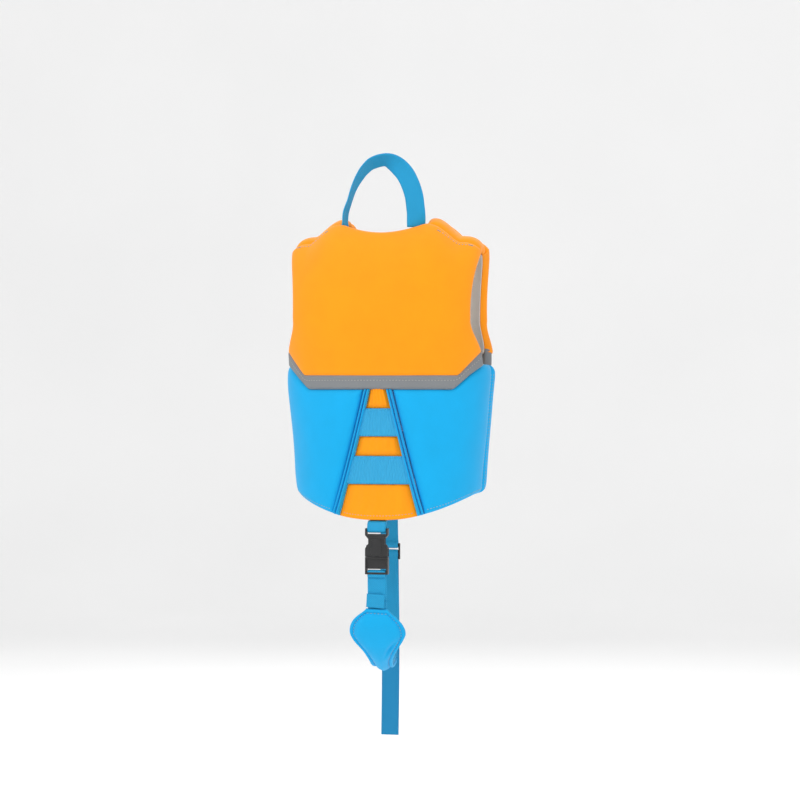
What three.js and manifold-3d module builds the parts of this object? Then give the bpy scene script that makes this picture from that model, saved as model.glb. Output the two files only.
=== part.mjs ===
// Child's swim vest: padded upper panels, a zipped waist belt with two front straps, a stretch gusset
// in the small of the back, a grab loop at the neck and a padded crotch strap.
// Millimetres, +Z up. The wearer faces -Y and their left is +X. The origin lies between the shoulders,
// at the height where the vest rests on them.
import * as THREE from 'three';
import Module from 'manifold-3d';
import { mergeVertices } from 'three/addons/utils/BufferGeometryUtils.js';

const wasm = await Module();
wasm.setup();

// The wearer's torso, which every panel is laid on.
const CHEST_HALF_WIDTH = 100.5;   // at the foot of the upper panels
const HIP_HALF_WIDTH = 88;      // at the back hem
const UNDERARM_SPREAD = 8;      // extra half width below the arms
const BACK_DEPTH = 63;          // from the torso's middle plane to the small of the back
const BACK_HOLLOW = 8;          // how much further the shoulder blades and seat stand out
const FRONT_DEPTH = 74;         // from the middle plane to the breastbone
const SQUARENESS = 2.4;         // 2 is an ellipse, more is boxier
const SHOULDER_BASE = -95;      // level where the torso starts to close over the shoulders
const SHOULDER_ARC = 130;       // chart length from that level to the shoulder ridge

// Levels and edges of the panels, on the inside face.
const PANEL_BOTTOM = -157;      // foot of the upper panels
const PANEL_CORNER = -129;      // foot of the armhole
const TRIM_HEIGHT = 12;         // grey band below the upper panels
const HEM_BACK = -309;
const HEM_SIDE = -282;
const HEM_FRONT = -298;
const PANEL_FLAT = 78;          // half width where the foot of the panel starts to climb
const ARMHOLE_CORNER = 98;     // half width at the foot of the armhole
const ARMHOLE_WAIST = 91;       // half width where the armhole is cut deepest
const SHOULDER_END = 98;       // half width at the shoulder
const NECK_HALF_WIDTH = 46;
const NECK_DIP = 16;            // how far the back neckline hangs below its corners
const FOLD_BEFORE_RIDGE = 34;   // shoulder fold, behind the shoulder ridge
const FOLD_AFTER_RIDGE = 26;    // shoulder fold, in front of the ridge
const NECK_V = -78;             // level of the top of the zip
const ZIP_HALF_WIDTH = 13;      // half of the valley between the front panels
const SIDE_SEAM = 93;           // degrees round from the middle of the back

// Thicknesses, from the wearer outwards.
const LINING = 1.2;
const SKIN = 1.2;
const GAP = 0.3;
const FOAM_GAP = 0.8;           // between a panel's lining and its foam
const SEAM = 1.2;               // across a sewn seam
const FOLD_SEAM = 1.2;          // across a shoulder fold
const BACK_THICK = 15;
const FRONT_THICK = 18;
const SHOULDER_THICK = 10;
const WAIST_BACK_THICK = 12.5;
const WAIST_FRONT_THICK = 16;
const TRIM_THICK = 10.5;
const GUSSET_THICK = 6;

// Gusset in the small of the back.
const GUSSET_TOP_HALF = 8;
const GUSSET_HEM_HALF = 40;
const PIPING_WIDTH = 6.5;
const PIPING_THICK = 11;
const ELASTIC_THICK = 1.7;
const ELASTIC_WIDTH = 30;
const ELASTIC_LEVELS = { elastic_band_upper: -205, elastic_band_lower: -256 };

// Webbing and its buckles.
const WEBBING_WIDTH = 20;
const WEBBING = 1.6;
const CHEST_STRAP_LEVEL = -185;
const WAIST_STRAP_LEVEL = -232;
const STRAP_SEWN_AT = 85;       // half width where the front straps are sewn down
const STRAP_GAP = 0.95;         // between a front strap and the belt under it
const BUCKLE_THICK = 8.4;
const BUCKLE_WALL = 1.8;
const BUCKLE_RAIL = 2.2;        // plastic beside the webbing
const FEMALE_LENGTH = 30;
const MALE_LENGTH = 18.3;
const PRONG_LENGTH = 14;
const PRONG_PLAY = 0.6;
const BAR = 2.2;
const BAR_SLOT = 4;
const TUNNEL_PLAY = 0.5;
const MALE_FRONT = 2;

// Zip.
const CHAIN_WIDTH = 2.3;        // one side
const CHAIN_BACK = 2.2;         // height of the chain's back over the wearer
const CHAIN_THICK = 2.4;
const TAPE_THICK = 1.2;
const SLIDER_LENGTH = 14;
const SLIDER_WIDTH = 9;
const SLIDER_PLATE = 1.8;
const PULL_LENGTH = 28;
const PULL_WIDTH = 6.5;
const PULL_THICK = 1.6;
const ZIP_BOX_LENGTH = 9;

// Crotch strap: the buckle hangs under the back hem, the strap passes between the legs to a glide.
const BACK_TAB_LENGTH = 8;
const CROTCH_BUCKLE_Y = 76;
const GLIDE_Y = -84;
const GLIDE_HANG = 48;          // from the front hem down to the glide's top bar
const GLIDE_SIDE = 17;          // the glide hangs on the wearer's left of the zip
const GLIDE_THICK = 3;
const GLIDE_BAR = 3;
const GLIDE_SLOT = 4.5;
const CROTCH_DROP = 103;        // from the buckle's end to the lowest point of the strap
const PAD_LENGTH = 134;
const PAD_HALF_WIDTH = 33;
const PAD_THICK = 5;
const PAD_START = 38;           // along the strap from the buckle
const TAIL_LENGTH = 212;

// Grab loop.
const LOOP_LEFT = 43;
const LOOP_RIGHT = -35;
const LOOP_TOP = 76;

const rad = THREE.MathUtils.degToRad;
const clamp = THREE.MathUtils.clamp;
const lerp = THREE.MathUtils.lerp;
const smooth = THREE.MathUtils.smoothstep;
const signedPower = (value, power) => Math.sign(value) * Math.abs(value) ** power;
const CORNER = 2 / SQUARENESS;
const DOME = 0.87;

// ---- The torso's surface ----

function halfWidth(z) {
  const upper = clamp((z - HEM_BACK) / (PANEL_BOTTOM - HEM_BACK), 0, 1);
  const underarm = smooth(z, PANEL_BOTTOM, SHOULDER_BASE + 5);
  return lerp(HIP_HALF_WIDTH, CHEST_HALF_WIDTH, upper) + UNDERARM_SPREAD * underarm;
}

function backDepth(z) {
  const middle = (HEM_BACK + SHOULDER_BASE - 26) / 2;
  return BACK_DEPTH + BACK_HOLLOW * ((z - middle) / (SHOULDER_BASE - middle)) ** 2;
}

function ridge(x) {
  const side = Math.abs(x);
  const slope = smooth(side, NECK_HALF_WIDTH, NECK_HALF_WIDTH + 34);
  const end = smooth(side, SHOULDER_END - 10, SHOULDER_END + 10);
  return 8 - 22 * slope - 16 * end;
}

// t runs up the back (negative below SHOULDER_BASE), over the shoulder ridge at SHOULDER_ARC, and down
// the front. psi runs across, from -90 degrees at the wearer's right side to 90 at the left.
function torso(t, psi) {
  const phi = clamp(t / SHOULDER_ARC, 0, 2) * Math.PI / 2;
  const below = Math.max(-t, t - 2 * SHOULDER_ARC, 0);
  const level = SHOULDER_BASE - below;
  const x = halfWidth(level) * signedPower(Math.sin(psi), CORNER);
  const depth = phi < Math.PI / 2 ? backDepth(level) : FRONT_DEPTH;
  const y = depth * signedPower(Math.cos(psi), CORNER) * signedPower(Math.cos(phi), DOME);
  const z = level + (ridge(x) - SHOULDER_BASE) * signedPower(Math.sin(phi), DOME);
  return new THREE.Vector3(x, y, z);
}

// The belt's own chart: psi goes all the way round, from 0 at the middle of the back to 180 degrees.
function belt(psi, z) {
  const front = Math.abs(psi) > Math.PI / 2;
  if (front) return torso(2 * SHOULDER_ARC + SHOULDER_BASE - z, Math.sign(psi) * Math.PI - psi);
  return torso(z - SHOULDER_BASE, psi);
}

function psiAt(x, z) {
  const share = clamp(x / halfWidth(z), -1, 1);
  return Math.asin(signedPower(share, 1 / CORNER));
}

function lifted(surface, u, v, lift, upSign) {
  const du = surface(u + 0.004, v).sub(surface(u - 0.004, v));
  const dv = surface(u, v + 0.3).sub(surface(u, v - 0.3));
  const normal = dv.cross(du).normalize().multiplyScalar(upSign);
  return surface(u, v).addScaledVector(normal, lift);
}

const onTorso = (t, x, lift) => lifted((psi, v) => torso(v, psi), psiAt(x, levelOf(t)), t, lift, 1);
const onBelt = (psi, z, lift) => lifted(belt, psi, z, lift, 1);
const levelOf = (t) => SHOULDER_BASE - Math.max(-t, t - 2 * SHOULDER_ARC, 0);
const onFront = (x, z, lift) => onBelt(Math.sign(x || 1) * Math.PI - psiAt(x, z), z, lift);

// ---- Closed solids ----

const vest = new THREE.Group();
vest.name = 'swim_vest';

const FINISHES = {
  orange: { color: 0xff9d00, roughness: 0.75, metalness: 0 },
  blue: { color: 0x12aee8, roughness: 0.7, metalness: 0 },
  grey: { color: 0x85888c, roughness: 0.8, metalness: 0 },
  foam: { color: 0xe9e4d6, roughness: 0.9, metalness: 0 },
  lining: { color: 0xc9cccd, roughness: 0.85, metalness: 0 },
  webbing: { color: 0x2bb4e6, roughness: 0.6, metalness: 0 },
  black: { color: 0x1d1e20, roughness: 0.45, metalness: 0 },
};

function addMesh(name, finish, geometry, parent = vest) {
  const mesh = new THREE.Mesh(geometry, new THREE.MeshStandardMaterial(FINISHES[finish]));
  mesh.name = name;
  parent.add(mesh);
  return mesh;
}

// Turns a closed shell outwards if its faces point in.
function closedGeometry(points, faces) {
  let volume = 0;
  for (const [a, b, c] of faces) volume += points[a].dot(points[b].clone().cross(points[c]));
  const turned = volume < 0 ? faces.map(([a, b, c]) => [a, c, b]) : faces;
  const geometry = new THREE.BufferGeometry();
  geometry.setAttribute('position', new THREE.Float32BufferAttribute(points.flatMap((p) => [...p]), 3));
  geometry.setIndex(turned.flat());
  geometry.computeVertexNormals();
  return geometry;
}

function quad(faces, a, b, c, d) {
  faces.push([a, b, c], [a, c, d]);
}

// Grid numbering, and the loop of grid points round its rim.
function rimOf(columns, rows) {
  const rim = [];
  for (let i = 0; i < columns; i += 1) rim.push(i * rows);
  for (let j = 1; j < rows; j += 1) rim.push((columns - 1) * rows + j);
  for (let i = columns - 2; i >= 0; i -= 1) rim.push(i * rows + rows - 1);
  for (let j = rows - 2; j > 0; j -= 1) rim.push(j);
  return rim;
}

function gridFaces(faces, first, columns, rows, flip) {
  for (let i = 0; i + 1 < columns; i += 1) {
    for (let j = 0; j + 1 < rows; j += 1) {
      const a = first + i * rows + j;
      const b = a + rows;
      if (flip) quad(faces, a, a + 1, b + 1, b);
      else quad(faces, a, b, b + 1, a + 1);
    }
  }
}

// Joins two loops by a wall. A wall that faces a neighbour's wall is split along the same diagonals.
function joinLoops(faces, upper, lower, flip = false) {
  for (let k = 0; k < upper.length; k += 1) {
    const next = (k + 1) % upper.length;
    if (flip) quad(faces, upper[next], lower[next], lower[k], upper[k]);
    else quad(faces, upper[next], upper[k], lower[k], lower[next]);
  }
}

// Points of a patch at one lift. The crown lets the rim lie lower than the middle.
function gridPoints(patch, steps, lift, crown) {
  const [across, along] = steps;
  const points = [];
  across.forEach((a, i) => {
    along.forEach((b, j) => {
      const edge = i === 0 || j === 0 || i === across.length - 1 || j === along.length - 1;
      points.push(patch(a, b, lift - (edge ? crown : 0)));
    });
  });
  return points;
}

// A sheet of even thickness between two lifts.
function slab(patch, steps, low, high, crown = 0) {
  const [columns, rows] = steps.map((list) => list.length);
  const count = columns * rows;
  const points = [...gridPoints(patch, steps, high, crown), ...gridPoints(patch, steps, low, 0)];
  const faces = [];
  gridFaces(faces, 0, columns, rows, false);
  gridFaces(faces, count, columns, rows, true);
  const rim = rimOf(columns, rows);
  joinLoops(faces, rim, rim.map((k) => k + count));
  return closedGeometry(points, faces);
}

// A skin that covers a pad's outside and its rim, and is open towards the wearer.
function tray(patch, steps, low, high, crown) {
  const [columns, rows] = steps.map((list) => list.length);
  const count = columns * rows;
  const inner = inset(patch, SKIN);
  const outerRim = rimOf(columns, rows);
  const points = [
    ...gridPoints(patch, steps, high, crown),
    ...gridPoints(inner, steps, high - SKIN, crown),
  ];
  const low0 = gridPoints(patch, steps, low, 0);
  const low1 = gridPoints(inner, steps, low, 0);
  const faces = [];
  gridFaces(faces, 0, columns, rows, false);
  gridFaces(faces, count, columns, rows, true);
  const outerLow = outerRim.map((k, n) => 2 * count + n);
  const innerLow = outerRim.map((k, n) => 2 * count + outerRim.length + n);
  points.push(...outerRim.map((k) => low0[k]), ...outerRim.map((k) => low1[k]));
  joinLoops(faces, outerRim, outerLow);
  joinLoops(faces, outerLow, innerLow);
  joinLoops(faces, outerRim.map((k) => k + count), innerLow, true);
  return closedGeometry(points, faces);
}

// The same patch with each edge moved in by a distance in millimetres.
function inset(patch, distance) {
  const length = (curve) => {
    let sum = 0;
    for (let k = 0; k < 8; k += 1) sum += curve(k / 8).distanceTo(curve((k + 1) / 8));
    return sum;
  };
  return (a, b, lift) => {
    const da = distance / length((s) => patch(s, b, 0));
    const db = distance / length((s) => patch(a, s, 0));
    return patch(lerp(da, 1 - da, a), lerp(db, 1 - db, b), lift);
  };
}

const even = (count) => Array.from({ length: count + 1 }, (_, k) => k / count);

// Steps across a mirrored patch that fall on the given half widths, as shares of its full width.
function mirrored(halfWidths, widest) {
  const right = halfWidths.map((x) => 0.5 - x / (2 * widest)).reverse();
  const left = halfWidths.filter((x) => x > 0).map((x) => 0.5 + x / (2 * widest));
  return [...right, ...left];
}

// A flat band of webbing along a path. widths gives the direction of its width at each point.
function ribbon(path, widths, width = WEBBING_WIDTH, thickness = WEBBING) {
  const points = [];
  path.forEach((point, k) => {
    const before = path[Math.max(k - 1, 0)];
    const after = path[Math.min(k + 1, path.length - 1)];
    const back = point.clone().sub(before).normalize();
    const forth = after.clone().sub(point).normalize();
    const along = back.clone().add(forth).normalize();
    const side = (Array.isArray(widths) ? widths[k] : widths).clone();
    if (!Array.isArray(widths)) side.addScaledVector(along, -side.dot(along));
    side.normalize();
    const mitre = Math.max(along.dot(k === 0 ? forth : back), 0.6);
    const face = along.clone().cross(side).normalize().multiplyScalar(thickness / 2 / mitre);
    side.multiplyScalar(width / 2);
    points.push(point.clone().add(side).add(face), point.clone().sub(side).add(face));
    points.push(point.clone().sub(side).sub(face), point.clone().add(side).sub(face));
  });
  const faces = [];
  for (let k = 0; k + 1 < path.length; k += 1) {
    const ring = (n) => [0, 1, 2, 3].map((m) => n * 4 + m);
    joinLoops(faces, ring(k + 1), ring(k));
  }
  const last = (path.length - 1) * 4;
  quad(faces, 3, 2, 1, 0);
  quad(faces, last, last + 1, last + 2, last + 3);
  return closedGeometry(points, faces);
}

// ---- Joining and cutting ----

function toManifold(geometry) {
  const bare = new THREE.BufferGeometry();
  bare.setAttribute('position', geometry.attributes.position);
  bare.setIndex(geometry.index);
  const merged = mergeVertices(bare, 1e-4);
  const vertProperties = new Float32Array(merged.attributes.position.array);
  const triVerts = new Uint32Array(merged.index.array);
  return new wasm.Manifold(new wasm.Mesh({ numProp: 3, vertProperties, triVerts }));
}

function fromManifold(solid) {
  const mesh = solid.getMesh();
  const geometry = new THREE.BufferGeometry();
  geometry.setAttribute('position', new THREE.BufferAttribute(mesh.vertProperties, 3));
  geometry.setIndex(new THREE.BufferAttribute(mesh.triVerts, 1));
  geometry.computeVertexNormals();
  return geometry;
}

// A box by its two corners.
function block(x0, x1, y0, y1, z0, z1) {
  const geometry = new THREE.BoxGeometry(x1 - x0, y1 - y0, z1 - z0);
  return geometry.translate((x0 + x1) / 2, (y0 + y1) / 2, (z0 + z1) / 2);
}

// A plate outlined in X and Z, with its thickness along Y.
function plate(outline, thickness, holes = []) {
  const shape = new THREE.Shape(outline.map(([x, z]) => new THREE.Vector2(x, z)));
  shape.holes = holes.map((hole) => new THREE.Path(hole.map(([x, z]) => new THREE.Vector2(x, z))));
  const geometry = new THREE.ExtrudeGeometry(shape, { depth: thickness, bevelEnabled: false });
  return geometry.translate(0, 0, -thickness / 2).rotateX(Math.PI / 2);
}

const rectangle = (x0, x1, z0, z1) => [[x0, z0], [x1, z0], [x1, z1], [x0, z1]];

// ---- Upper back ----

const FOLD_T = SHOULDER_ARC - FOLD_BEFORE_RIDGE;
const FRONT_FOLD_T = SHOULDER_ARC + FOLD_AFTER_RIDGE;
const CORNER_T = PANEL_CORNER - SHOULDER_BASE;
const BOTTOM_T = PANEL_BOTTOM - SHOULDER_BASE;
const FRONT_T = (z) => 2 * SHOULDER_ARC + SHOULDER_BASE - z;

// Half width of the armhole's edge, deepest just above the level where the torso closes.
function armhole(t) {
  const fromRidge = Math.abs(t - SHOULDER_ARC);
  if (fromRidge < SHOULDER_ARC) {
    return lerp(SHOULDER_END, ARMHOLE_WAIST, smooth(fromRidge, SHOULDER_ARC * 0.2, SHOULDER_ARC));
  }
  return lerp(ARMHOLE_WAIST, ARMHOLE_CORNER, smooth(fromRidge - SHOULDER_ARC, 0, -CORNER_T));
}

// The panel's foot climbs towards the armhole in a straight chamfer.
function footClimb(x, flat, corner) {
  return clamp((Math.abs(x) - flat) / (corner - flat), 0, 1);
}

function panelFoot(x) {
  return lerp(BOTTOM_T, CORNER_T, footClimb(x, PANEL_FLAT, ARMHOLE_CORNER));
}

function beltTop(x) {
  const high = PANEL_CORNER - TRIM_HEIGHT - 2;
  return lerp(PANEL_BOTTOM - TRIM_HEIGHT, high, footClimb(x, PANEL_FLAT - 4, ARMHOLE_CORNER));
}

function backTop(x) {
  const share = clamp(Math.abs(x) / NECK_HALF_WIDTH, 0, 1);
  return FOLD_T - NECK_DIP * (1 - share ** 2);
}

function backPatch(a, b, lift) {
  const x = (2 * a - 1) * armhole(lerp(CORNER_T, FOLD_T, b));
  const atFoot = (2 * a - 1) * ARMHOLE_CORNER;
  const atTop = (2 * a - 1) * armhole(FOLD_T);
  return onTorso(lerp(panelFoot(atFoot), backTop(atTop), b), x, lift);
}

const foamPatch = (patch) => inset(patch, SKIN + GAP);
const FOAM_FLOOR = LINING + FOAM_GAP;

function paddedPanel(names, finish, patch, steps, thickness, crown) {
  const [cover, foam] = names;
  addMesh(cover, finish, tray(patch, steps, FOAM_FLOOR, thickness, crown));
  const top = thickness - SKIN - GAP;
  addMesh(foam, 'foam', slab(foamPatch(patch), steps, FOAM_FLOOR, top, crown));
}

const BACK_CROWN = 4;
const backAcross = mirrored([0, 23, NECK_HALF_WIDTH, 62, PANEL_FLAT, 88, ARMHOLE_CORNER], ARMHOLE_CORNER);
const backSteps = [backAcross, even(8)];
paddedPanel(['back_cover', 'back_foam'], 'orange', backPatch, backSteps, BACK_THICK, BACK_CROWN);
addMesh('back_lining', 'lining', slab(backPatch, backSteps, 0, LINING));

// ---- Grey band under the upper back ----

function trimPatch(side) {
  return (a, b, lift) => {
    const x = side === 0 ? (2 * a - 1) * ARMHOLE_CORNER : side * lerp(ZIP_HALF_WIDTH, ARMHOLE_CORNER, a);
    const upper = SHOULDER_BASE + panelFoot(x) - SEAM;
    const level = lerp(beltTop(x) + SEAM, upper, b);
    const t = side === 0 ? level - SHOULDER_BASE : FRONT_T(level);
    return onTorso(t, x, lift);
  };
}

const bandAcross = mirrored([0, 25, 50, PANEL_FLAT - 4, PANEL_FLAT, 88, ARMHOLE_CORNER], ARMHOLE_CORNER);
addMesh('back_trim_band', 'grey', slab(trimPatch(0), [bandAcross, even(1)], FOAM_FLOOR, TRIM_THICK));

// ---- Shoulders and upper front, one of each a side ----

// Share of the shoulder chart at which the front reaches the level of the V.
const V_RISE = (NECK_V - SHOULDER_BASE) / (ridge(0) - SHOULDER_BASE);
const V_T = 2 * SHOULDER_ARC - SHOULDER_ARC * Math.asin(V_RISE ** (1 / DOME)) / (Math.PI / 2);

// Half width of the neck opening's edge from the back fold, over the shoulder, to the V at the zip.
function neckEdge(t) {
  const share = clamp((t - FRONT_FOLD_T) / (V_T - FRONT_FOLD_T), 0, 1);
  return lerp(NECK_HALF_WIDTH, ZIP_HALF_WIDTH, share ** 1.3);
}

function shoulderPatch(side) {
  return (a, b, lift) => {
    const t = lerp(FOLD_T + FOLD_SEAM, FRONT_FOLD_T - FOLD_SEAM, b);
    return onTorso(t, side * lerp(neckEdge(t), armhole(t), a), lift);
  };
}

function frontPatch(side) {
  return (a, b, lift) => {
    const edgeT = lerp(FRONT_FOLD_T, FRONT_T(PANEL_CORNER), b);
    const footX = lerp(ZIP_HALF_WIDTH, ARMHOLE_CORNER, a);
    const t = lerp(FRONT_FOLD_T, 2 * SHOULDER_ARC - panelFoot(footX), b);
    const x = side * lerp(neckEdge(t), armhole(edgeT), a);
    return onTorso(t, x, lift);
  };
}

const SHOULDER_CROWN = 1.5;
const FRONT_CROWN = 5;
const frontAcross = [ZIP_HALF_WIDTH, 30, 48, 64, PANEL_FLAT, 88, ARMHOLE_CORNER].map(
  (x) => (x - ZIP_HALF_WIDTH) / (ARMHOLE_CORNER - ZIP_HALF_WIDTH),
);
const bandFrontAcross = [ZIP_HALF_WIDTH, 44, PANEL_FLAT - 4, PANEL_FLAT, 88, ARMHOLE_CORNER].map(
  (x) => (x - ZIP_HALF_WIDTH) / (ARMHOLE_CORNER - ZIP_HALF_WIDTH),
);

for (const [word, side] of [['left', 1], ['right', -1]]) {
  const shoulder = shoulderPatch(side);
  const names = [`shoulder_cover_${word}`, `shoulder_pad_${word}`];
  paddedPanel(names, 'orange', shoulder, [even(6), even(6)], SHOULDER_THICK, SHOULDER_CROWN);
  const front = frontPatch(side);
  const frontSteps = [frontAcross, even(11)];
  paddedPanel([`front_cover_${word}`, `front_foam_${word}`], 'orange', front, frontSteps,
    FRONT_THICK, FRONT_CROWN);
  addMesh(`front_lining_${word}`, 'lining', slab(front, frontSteps, 0, LINING));
  const band = slab(trimPatch(side), [bandFrontAcross, even(1)], FOAM_FLOOR, TRIM_THICK);
  addMesh(`front_trim_band_${word}`, 'grey', band);
}

// ---- Waist belt ----

// Lower edge of the belt, shortest at the sides.
function hem(psi) {
  const round = Math.abs(psi) / (Math.PI / 2);
  if (round < 1) return lerp(HEM_BACK, HEM_SIDE, smooth(round, 0, 1));
  return lerp(HEM_SIDE, HEM_FRONT, smooth(round, 1, 2));
}

const BELT_TOP = PANEL_BOTTOM - TRIM_HEIGHT;

function gussetHalf(z) {
  return lerp(GUSSET_HEM_HALF, GUSSET_TOP_HALF, (z - HEM_BACK) / (BELT_TOP - HEM_BACK));
}

function beltPatch(side, inner, outer) {
  return (a, b, lift) => {
    const level = lerp(HEM_BACK, BELT_TOP, b);
    const psi = lerp(inner(level), outer(level), a);
    const round = Math.min(psi, Math.PI - psi);
    const x = halfWidth(BELT_TOP) * signedPower(Math.sin(round), CORNER);
    return onBelt(side * psi, lerp(hem(psi), beltTop(x), b), lift);
  };
}

const pipingInner = (z) => psiAt(gussetHalf(z) + 2 * GAP, z);
const pipingOuter = (z) => psiAt(gussetHalf(z) + PIPING_WIDTH, z);
const backInner = (z) => psiAt(gussetHalf(z) + PIPING_WIDTH + SEAM, z);
const seamBack = () => rad(SIDE_SEAM - 0.2);
const seamFront = () => rad(SIDE_SEAM + 0.2);
const frontInner = (z) => Math.PI - psiAt(ZIP_HALF_WIDTH, z);
const WAIST_BACK_CROWN = 3;
const WAIST_FRONT_CROWN = 3.5;

// Steps round one belt panel that fall on the two kinks of its upper edge.
function beltSteps(inner, outer, front) {
  const kinks = [PANEL_FLAT - 4, ARMHOLE_CORNER].map((x) => psiAt(x, BELT_TOP));
  const places = front ? kinks.map((psi) => Math.PI - psi).reverse() : kinks;
  const shares = places.map((psi) => (psi - inner) / (outer - inner));
  const [first, second] = shares;
  const list = [0, first / 3, (2 * first) / 3, first, (first + second) / 2, second, (1 + second) / 2, 1];
  const frontList = [0, first / 2, first, (first + second) / 2, second];
  for (let k = 1; k <= 4; k += 1) frontList.push(lerp(second, 1, k / 4));
  return front ? frontList : list;
}

const backBeltSteps = [beltSteps(backInner(BELT_TOP), seamBack(), false), even(7)];
const frontBeltSteps = [beltSteps(seamFront(), frontInner(BELT_TOP), true), even(7)];

for (const [word, side] of [['left', 1], ['right', -1]]) {
  const back = beltPatch(side, backInner, seamBack);
  paddedPanel([`waist_back_cover_${word}`, `waist_back_foam_${word}`], 'blue', back, backBeltSteps,
    WAIST_BACK_THICK, WAIST_BACK_CROWN);
  const front = beltPatch(side, seamFront, frontInner);
  paddedPanel([`waist_front_cover_${word}`, `waist_front_foam_${word}`], 'blue', front, frontBeltSteps,
    WAIST_FRONT_THICK, WAIST_FRONT_CROWN);
  const lining = (a, b, lift) => (a <= 1 ? back(a, b, lift) : front(a - 1, b, lift));
  const liningSteps = [[...backBeltSteps[0], ...frontBeltSteps[0].slice(1).map((a) => a + 1)], even(7)];
  addMesh(`waist_lining_${word}`, 'lining', slab(lining, liningSteps, 0, LINING));
  const piping = beltPatch(side, pipingInner, pipingOuter);
  addMesh(`gusset_piping_${word}`, 'blue', slab(piping, [even(1), even(7)], 0, PIPING_THICK));
}

function gussetPatch(a, b, lift) {
  const level = lerp(HEM_BACK, BELT_TOP, b);
  return onBelt(psiAt((2 * a - 1) * gussetHalf(level), level), level, lift);
}
addMesh('back_gusset', 'orange', slab(gussetPatch, [even(4), even(7)], 0, GUSSET_THICK));

for (const [name, level] of Object.entries(ELASTIC_LEVELS)) {
  const low = GUSSET_THICK + GAP;
  const patch = (a, b, lift) => {
    const z = level + (b - 0.5) * ELASTIC_WIDTH;
    return onBelt(psiAt((2 * a - 1) * (gussetHalf(z) - GAP), z), z, lift);
  };
  addMesh(name, 'webbing', slab(patch, [even(4), even(2)], low, low + ELASTIC_THICK));
}

// ---- Side-release buckles ----
// Drawn lengthwise along X from the female's bar to the male's bar, thickness along Y with the
// outside at -Y, width along Z.

const BUCKLE_HALF = WEBBING_WIDTH / 2 + BUCKLE_RAIL;
const BAR_HALF = BUCKLE_THICK / 2 - WEBBING - 1.1;
const WEB_ROOM = 0.4;
const CAVITY_HALF = BUCKLE_THICK / 2 - BUCKLE_WALL;
const PRONG_HALF = CAVITY_HALF - PRONG_PLAY;
const CAVITY_START = BAR + BAR_SLOT + 4;
const ARM_WIDTH = 3.4;
const ARM_HEAD = 2.6;
const MALE_START = FEMALE_LENGTH + GAP;
const BUCKLE_LENGTH = MALE_START + MALE_LENGTH;
const STRAP_END = BUCKLE_LENGTH - BAR + TUNNEL_PLAY + 0.2;
const RELEASE_TRAVEL = PRONG_LENGTH;

function femaleGeometry() {
  const h = BUCKLE_HALF;
  const waist = h - 3.4;
  const neck = CAVITY_START;
  const outline = [
    [0, -h], [neck - 3, -h], [neck + 1, -waist], [neck + 6, -waist], [neck + 11, -h], [FEMALE_LENGTH, -h],
    [FEMALE_LENGTH, h], [neck + 11, h], [neck + 6, waist], [neck + 1, waist], [neck - 3, h], [0, h],
  ];
  const slotHalf = WEBBING_WIDTH / 2 + TUNNEL_PLAY;
  const slot = rectangle(BAR, BAR + BAR_SLOT, -slotHalf, slotHalf);
  const body = toManifold(plate(outline, BUCKLE_THICK, [slot]));
  const cavity = block(neck, FEMALE_LENGTH + 1, -CAVITY_HALF, CAVITY_HALF, -h - 1, h + 1);
  const thinAbove = block(-1, BAR + 0.01, BAR_HALF, BUCKLE_THICK, -slotHalf, slotHalf);
  const thinBelow = block(-1, BAR + 0.01, -BUCKLE_THICK, -BAR_HALF, -slotHalf, slotHalf);
  const cuts = [cavity, thinAbove, thinBelow].map(toManifold);
  return fromManifold(cuts.reduce((solid, cut) => solid.subtract(cut), body));
}

function maleGeometry() {
  const h = BUCKLE_HALF;
  const start = MALE_START;
  const end = BUCKLE_LENGTH;
  const slotHalf = WEBBING_WIDTH / 2 + TUNNEL_PLAY;
  const window = rectangle(start + MALE_FRONT, end - BAR, -slotHalf, slotHalf);
  const frame = toManifold(plate(rectangle(start, end, -h, h), BUCKLE_THICK, [window]));
  const tunnelHalf = WEBBING / 2 + TUNNEL_PLAY;
  const tunnel = toManifold(block(end - BAR - 1, end + 1, -tunnelHalf, tunnelHalf, -slotHalf, slotHalf));
  const tongue = block(start - PRONG_LENGTH, start + 0.5, -PRONG_HALF, PRONG_HALF, -2.2, 2.2);
  return fromManifold(frame.subtract(tunnel).add(toManifold(tongue)));
}

// One springy prong with its head at the outside. side is 1 or -1 across the buckle.
function armGeometry(side) {
  const root = FEMALE_LENGTH;
  const tip = MALE_START - PRONG_LENGTH;
  const outer = BUCKLE_HALF - ARM_HEAD;
  const outline = [
    [root, outer - ARM_WIDTH], [root, outer], [tip + 7, outer], [tip + 5, outer + ARM_HEAD - 0.4],
    [tip + 2, outer + ARM_HEAD - 0.8], [tip, outer - 1], [tip, outer - ARM_WIDTH + 0.6],
  ].map(([x, z]) => [x, side * z]);
  return plate(side > 0 ? outline : outline.reverse(), 2 * PRONG_HALF);
}

// Centre line of webbing that is sewn round the bar at the buckle's start, in the buckle's own X and Y.
// Negative X is behind the bar. back lists the points of the inner layer before it reaches the bar.
function barLoop(barLength, barHalf, returnLength) {
  const reach = barHalf + WEB_ROOM + WEBBING / 2;
  const layer = WEBBING / 2 + 0.3;
  const turn = barLength + WEB_ROOM + WEBBING / 2 + 0.3;
  const bevel = 1.3;
  return [
    [-5.5, layer], [-1.7, reach], [turn - bevel, reach], [turn, reach - bevel], [turn, -reach + bevel],
    [turn - bevel, -reach], [-1.7, -reach], [-5.5, -layer], [-5.5 - returnLength, -layer],
  ];
}

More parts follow.
